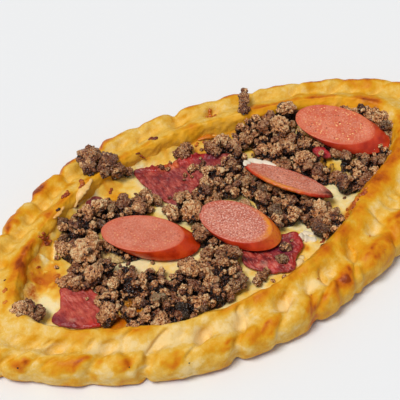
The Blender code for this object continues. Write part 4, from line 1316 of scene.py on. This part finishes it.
def makeCore(material):
    shape = nodeShape("beef_heap")
    scaleAll(shape, mm)
    core = shapeOf(evenMesh(toMesh(shape, "core")))
    core.normal_update()
    paintedShade, tone, char, bare, oily = (core.verts.layers.float.new(layer)
                                   for layer in ("paintedShade", "tone", "char", "bare", "oily"))

    def relief(vert):
        spot = vert.co
        coarse = granules(warped(spot, 2.6, 1.1), 3.4)
        fine = granules(spot + Vector((9, 9, 9)), 1.7)
        # painted shade: the core that shows in the gaps between lumps is dark, darker still in its cracks
        vert[paintedShade] = 0.62 + 0.5 * smoothStep(0.55, 0.0, coarse) + 0.15 * (1.0 - fine)
        vert[tone] = 0.35 + 0.3 * noise.noise(spot / 5.0)
        vert[char] = 0.0
        x = spot.x + 1.5 * noise.noise(spot / 2.0)
        y = spot.y + 1.5 * noise.noise(spot / 2.0 + Vector((7, 0, 0)))
        shown, vert[oily] = max((bell(math.hypot(x - gapX, y - gapY), 0.0, gap), oil)
                                for gapX, gapY, gap, oil in bareSpots)
        vert[bare] = smoothStep(0.30, 0.50, shown)
        rough = (1.2 * (coarse - 1.0) + 0.4 * (fine - 1.0)) * (spot.z > 10.9)
        return rough * (1.0 - 0.8 * vert[bare]) - 1.2 * vert[bare]

    pushOut(core, relief)
    print("beef core:", len(core.faces), "faces")
    return finishPiece("beefCore", core, material, ["beef_heap"])


def beefMaterial():
    material, tree, shader = newMaterial("friedMince", {
        "Roughness": 0.5, "IOR": 1.45, "Specular IOR Level": 1.0,
    })
    # painted shade from the lumps, and from the fine cracks between granules, darkens the colour
    depth = plus(tree, painted(tree, "paintedShade"), ripple(tree, 1.3, 0.7))
    grit = spread(tree, cells(tree, 1.15, "DISTANCE_TO_EDGE"), 0.02, 0.30, 1.0, 0.0)
    depth = timesPlus(tree, grit, 0.30, plus(tree, depth, -0.14))
    tone = plus(tree, painted(tree, "tone"), ripple(tree, 3.0, 1.0))
    shade = colourRamp(tree, tone, beef["shades"])
    colour = mixColour(tree, 1.0, colourRamp(tree, depth, beef["tones"]), shade, "MULTIPLY")
    char = times(tree, painted(tree, "char"), spread(tree, cloud(tree, 2.4), 0.30, 0.60, 1.0, 0.9))
    colour = mixColour(tree, char, colour, beef["char"])
    melted = plus(tree, painted(tree, "oily"), ripple(tree, 2.0, 0.5))
    colour = mixColour(tree, painted(tree, "bare"), colour, colourRamp(tree, melted, beef["fat"]))
    setInput(tree, shader, "Base Color", colour)
    setInput(tree, shader, "Roughness", spread(tree, cloud(tree, 1.5), 0.35, 0.65, 0.15, 0.38))
    bump(tree, shader, timesPlus(tree, grit, -0.9, cloud(tree, 0.7, 3.0)), 0.60, 1.0)
    return material


beefFinish = beefMaterial()
makeCore(beefFinish)
makeBeef(beefFinish)

# small baked bits: crisps, specks, chips and strands
# chips are x, y, half length, half width, half height, turn, tone (0 pale cheese, 0.5 orange, 1 black)
bakedChips = (
    (-70.5, 44, 1.2, 0.9, 0.6, 20, 0.98), (-62.6, 49.4, 2.4, 1.3, 1.1, -10, 0.78),
    (-61.2, 50.6, 1.2, 0.9, 1, 40, 0.66), (-51.1, 52.8, 2.4, 1.4, 1, 60, 0.62),
    (-53, 51.2, 1.3, 0.9, 0.8, 10, 0.7), (-4, 58.5, 2.8, 1.3, 0.8, -40, 0.82),
    (33.9, 61.6, 1.8, 1.3, 1.3, 80, 0.58), (32.3, 56.9, 3, 1.4, 1.2, -20, 0.64),
    (29.8, 58, 1.2, 0.9, 0.9, 30, 0.72), (-84.3, 33.4, 2.6, 1.3, 0.9, -60, 0.76),
    (-85.8, 35, 1.2, 1, 0.8, 0, 0.62), (-116.5, 15, 1.8, 1.3, 0.7, 30, 0.64),
    (-119.7, 9.1, 1.2, 0.9, 0.5, -20, 0.56), (-113.3, 21, 0.8, 0.6, 0.5, 0, 0.95),
    (-88.9, -52.8, 0.5, 0.4, 0.4, 0, 1), (-64, -65.6, 0.4, 0.35, 0.4, 0, 1),
    (51, -55.2, 0.9, 0.6, 0.4, 20, 0.66), (51.8, -65.8, 0.5, 0.4, 0.3, 0, 0.8),
    (5.2, -67.4, 0.8, 0.35, 0.4, 60, 0.7), (13.5, -61.8, 0.9, 0.4, 0.4, -50, 0.66),
    (34.7, -39, 2.4, 0.8, 0.7, 50, 0.76), (33, -40.5, 1.2, 0.7, 0.6, -10, 0.7),
    (-37.7, 47.5, 1.8, 0.9, 0.7, 30, 0.78), (-15.2, 54.2, 2.6, 0.6, 0.5, -20, 0.8),
    (-131.4, -23.3, 0.6, 0.5, 0.5, 0, 1), (-88.4, 15.6, 1.4, 1, 0.5, 10, 0.56),
    (-90.6, 13, 0.9, 0.7, 0.4, 60, 0.52), (-94, 24, 1.2, 0.8, 0.5, 0, 0.64),
    (-83, 36, 1.8, 1.1, 0.8, -50, 0.7), (-81.5, 33.5, 1.2, 0.8, 0.6, 20, 0.66),
    (63.8, -33, 2.2, 1.6, 0.8, 0, 0.66), (59.4, -34, 2.6, 1.9, 0.8, 30, 0.64),
    (54.4, -36.2, 2.6, 1.9, 0.8, -10, 0.62), (59.8, -34.4, 0.9, 0.9, 1.3, 30, 0.82),
    (54.8, -36.6, 0.9, 0.9, 1.3, -10, 0.84), (63.8, -33.4, 0.8, 0.7, 1.2, 0, 0.8),
    (61.6, -31, 1.6, 1, 0.9, 60, 0.56), (56.6, -32.6, 2, 1.2, 1, -60, 0.58),
    (51.6, -36.8, 1.8, 1.2, 0.9, -60, 0.55), (66.5, -31.5, 1.7, 1, 0.8, -20, 0.6),
    (47.8, -39.6, 1.4, 0.8, 0.7, -50, 0.54), (-9, 45.8, 1.5, 1, 0.8, 20, 0.84),
    (17, 48.5, 1.5, 0.9, 0.7, 20, 0.62), (21, 47.5, 1.2, 0.8, 0.6, -30, 0.66),
    (-58, 46.5, 1.4, 0.9, 0.7, 30, 0.68),
)
# strands are half width, half height, tone and a walk of x, y and height over what lies below
bakedStrands = (
    (1.3, 0.8, 0.34, ((-60.6, -18, 0.4), (-61.9, -22, 3.4), (-64, -26, 3.8), (-65.6, -29, 0.6))), (2, 0.9,
    0.25, ((-45.6, 52.2, 0.2), (-49.5, 50.1, 0.7), (-55.7, 48, 0.8), (-60.8, 45.1, 0.3))), (1, 0.6, 0.16,
    ((-47, 47, 0.2), (-50.5, 47.2, 0.6), (-55, 45, 0.3))), (2.2, 0.6, 0.03, ((24.4, -32, 0),
    (28, -34.6, 0.5), (31.5, -38, 0))), (1.3, 0.5, 0.05, ((27, -30, 0), (30.5, -32.2, 0.5),
    (34.5, -35.4, 0))), (1, 0.4, 0.2, ((-82.5, 27, 0.2), (-80.8, 29.8, 0.4), (-79.6, 32.4, 0.2))), (0.8,
    0.4, 0.14, ((-78, 26, 0.2), (-77, 29, 0.4), (-76.8, 31.6, 0.2))), (1, 0.6, 0.3, ((-75, 41, 0.3),
    (-71, 42.4, 0.6), (-66.5, 44.6, 0.3))), (1.2, 0.8, 0.52, ((18, 50, 0.3), (23, 48.6, 0.6),
    (29, 46.6, 0.3))),
)
# dabs of melted cheese on the slices: x, y, half length, half width, half height, turn in degrees
cheeseBlobs = (
    (15.5, -44, 3.4, 2, 0.8, 20), (18.5, -42.6, 1.8, 1.4, 0.7, 0), (-36, -19.5, 2.4, 1.2, 0.6, 20),
)
# where the white film lies on the edge of the tilted slice, its half sizes, and the tone of the dabs
filmTurns, filmReach, filmSteps, filmHalf = (0.560, 0.305), 0.985, 8, (1.9, 0.6)
blobTone = 0.16
bitTones = ((0.0, (246, 230, 206)), (0.18, (240, 206, 136)), (0.36, (230, 152, 44)), (0.55, (208, 112, 18)),
            (0.72, (164, 66, 12)), (0.86, (98, 32, 12)), (1.0, (20, 14, 14)))


def bakedBall():
    ball = bmesh.new()
    bmesh.ops.create_icosphere(ball, subdivisions=2, radius=1.0)
    for vert in ball.verts:
        vert.co *= 1.0 + 0.55 * noise.noise(vert.co * 1.9)
    return toMesh(ball, "bakedBall")


def strandSkin(path, wide, tall):
    # a flat rope along a path, thin at both ends
    def place(around, along):
        last = len(path) - 1
        spots = [min(max(along * last + step, 0.0), last) for step in (0.0, -0.1, 0.1)]
        middle, before, after = (Vector(smoothRow(path, spot)) for spot in spots)
        ahead = after - before
        side = ahead.cross(Vector((0.0, 0.0, 1.0))).normalized()
        up = side.cross(ahead).normalized()
        girth = math.sin(math.pi * min(1.0, max(0.0, along))) ** 0.45
        girth *= 1.0 + 0.7 * noise.noise(middle / 1.6)
        angle = math.tau * around
        return middle + side * wide * girth * math.cos(angle) + up * tall * girth * math.sin(angle)

    return wrapSkin(12, 24, place)


def addPart(cluster, part, tone):
    mesh = toMesh(part, "part")
    count = len(cluster.verts)
    cluster.from_mesh(mesh)
    bpy.data.meshes.remove(mesh)
    cluster.verts.ensure_lookup_table()
    layer = cluster.verts.layers.float["tone"]
    for vert in cluster.verts[count:]:
        vert[layer] = tone


def filmPath():
    # along the far edge of the tilted slice
    slab = sausages["sausage_4"]
    lengthways, sideways = sliceAxes(slab)
    halfLong, halfWide = slab["half"]
    path = []
    for index in range(filmSteps + 1):
        turn = math.tau * (filmTurns[0] + (filmTurns[1] - filmTurns[0]) * index / filmSteps)
        reach = filmReach + 0.05 * noise.noise(Vector((index * 0.9, 0.0, 0.0)))
        outward = lengthways * halfLong * math.cos(turn) + sideways * halfWide * math.sin(turn)
        path.append(tuple(Vector(slab["middle"]) + outward * reach + Vector((0.0, 0.0, 0.3))))
    return path


def addBall(cluster, ball, spot, turn, half, tone):
    part = bmesh.new()
    part.from_mesh(ball)
    place = Matrix.Translation(spot) @ Matrix.Rotation(math.radians(turn), 4, "Z")
    bmesh.ops.transform(part, matrix=place @ Matrix.Diagonal((*half, 1.0)), verts=part.verts)
    addPart(cluster, part, tone)


def makeBits(material):
    ball = bakedBall()
    cluster = bmesh.new()
    cluster.verts.layers.float.new("tone")
    rng = random.Random(3)
    for x, y, long, wide, tall, turn, tone in bakedChips:
        # each larger chip is a few rough pieces baked together
        pieces, share, stride = (3, 0.62, 0.52) if long > 1.0 else (1, 0.9, 0.0)
        for piece in range(pieces):
            along = (piece - 1) * stride * long
            px = x + along * math.cos(math.radians(turn)) + rng.uniform(-0.2, 0.2) * wide
            py = y + along * math.sin(math.radians(turn)) + rng.uniform(-0.4, 0.4) * wide
            half = (long * share * rng.uniform(0.7, 1.1), wide * rng.uniform(0.6, 0.95),
                    tall * rng.uniform(0.7, 1.1))
            spot = (px, py, topOf(groundTrees, px, py) + 0.15 * tall)
            addBall(cluster, ball, spot, turn + rng.uniform(-50, 50), half, tone + rng.uniform(-0.12, 0.08))
    for wide, tall, tone, walk in bakedStrands:
        path = [(x, y, topOf(groundTrees, x, y) + lift) for x, y, lift in walk]
        addPart(cluster, strandSkin(path, wide, tall), tone)
    addPart(cluster, strandSkin(filmPath(), *filmHalf), 0.0)
    for x, y, long, wide, tall, turn in cheeseBlobs:
        addBall(cluster, ball, (x, y, topOf(groundTrees, x, y)), turn, (long, wide, tall), blobTone)
    bmesh.ops.recalc_face_normals(cluster, faces=cluster.faces)
    cluster.normal_update()
    pushOut(cluster, lambda vert: 0.22 * noise.noise(vert.co / 0.8))
    print("bakedBits:", len(cluster.faces), "faces")
    finishPiece("bakedBits", cluster, material)


def bitsMaterial():
    material, tree, shader = newMaterial("bakedBits", {
        "Roughness": 0.36, "IOR": 1.45, "Subsurface Weight": 0.05,
    })
    tone = plus(tree, painted(tree, "tone"), ripple(tree, 0.9, 0.16, 2.0))
    setInput(tree, shader, "Base Color", colourRamp(tree, tone, bitTones))
    bump(tree, shader, cloud(tree, 0.8, 3.0), 0.25, 0.8)
    return material


makeBits(bitsMaterial())

# floor, light and camera

studio = dict(
    floorColour=(234, 235, 236), world=0.36,
    cameraPlace=(-249.5, -349.4, 536.2), cameraAim=(2.1, 23.7, 0.0), lens=119.7, sensor=36.0,
    suns=(                                   # place that it shines from, angle across, strength
        ("keySun", (-430.0, -30.0, 1000.0), 22.0, 2.36),
    ),
)


def aimAt(item, target):
    item.rotation_euler = (Vector(target) * mm - item.location).to_track_quat("-Z", "Y").to_euler()


def makeFloor():
    grid = bmesh.new()
    bmesh.ops.create_grid(grid, x_segments=1, y_segments=1, size=3.0)
    mesh = toMesh(grid, "floor")
    tone = (*fromScreen(studio["floorColour"]), 1.0)
    mesh.materials.append(newMaterial("paleFloor", {"Roughness": 0.7, "Base Color": tone})[0])
    floor = addItem("floor", mesh)


def makeLights():
    world = bpy.data.worlds.new("world")
    world.use_nodes = True
    sky = world.node_tree.nodes["Background"]
    sky.inputs["Color"].default_value = (1.0, 1.0, 1.0, 1.0)
    sky.inputs["Strength"].default_value = studio["world"]
    bpy.context.scene.world = world
    for name, place, angle, strength in studio["suns"]:
        data = bpy.data.lights.new(name, "SUN")
        data.angle = math.radians(angle)
        data.energy = strength
        light = addItem(name, data)
        light.location = Vector(place) * mm
        aimAt(light, (0.0, 0.0, 0.0))


def makeCamera():
    data = bpy.data.cameras.new("camera")
    data.lens = studio["lens"]
    data.sensor_width = studio["sensor"]
    data.clip_start = 0.01
    camera = addItem("camera", data)
    camera.location = Vector(studio["cameraPlace"]) * mm
    aimAt(camera, studio["cameraAim"])
    bpy.context.scene.camera = camera


makeFloor()
makeLights()
makeCamera()
bpy.context.scene.view_settings.view_transform = "Standard"
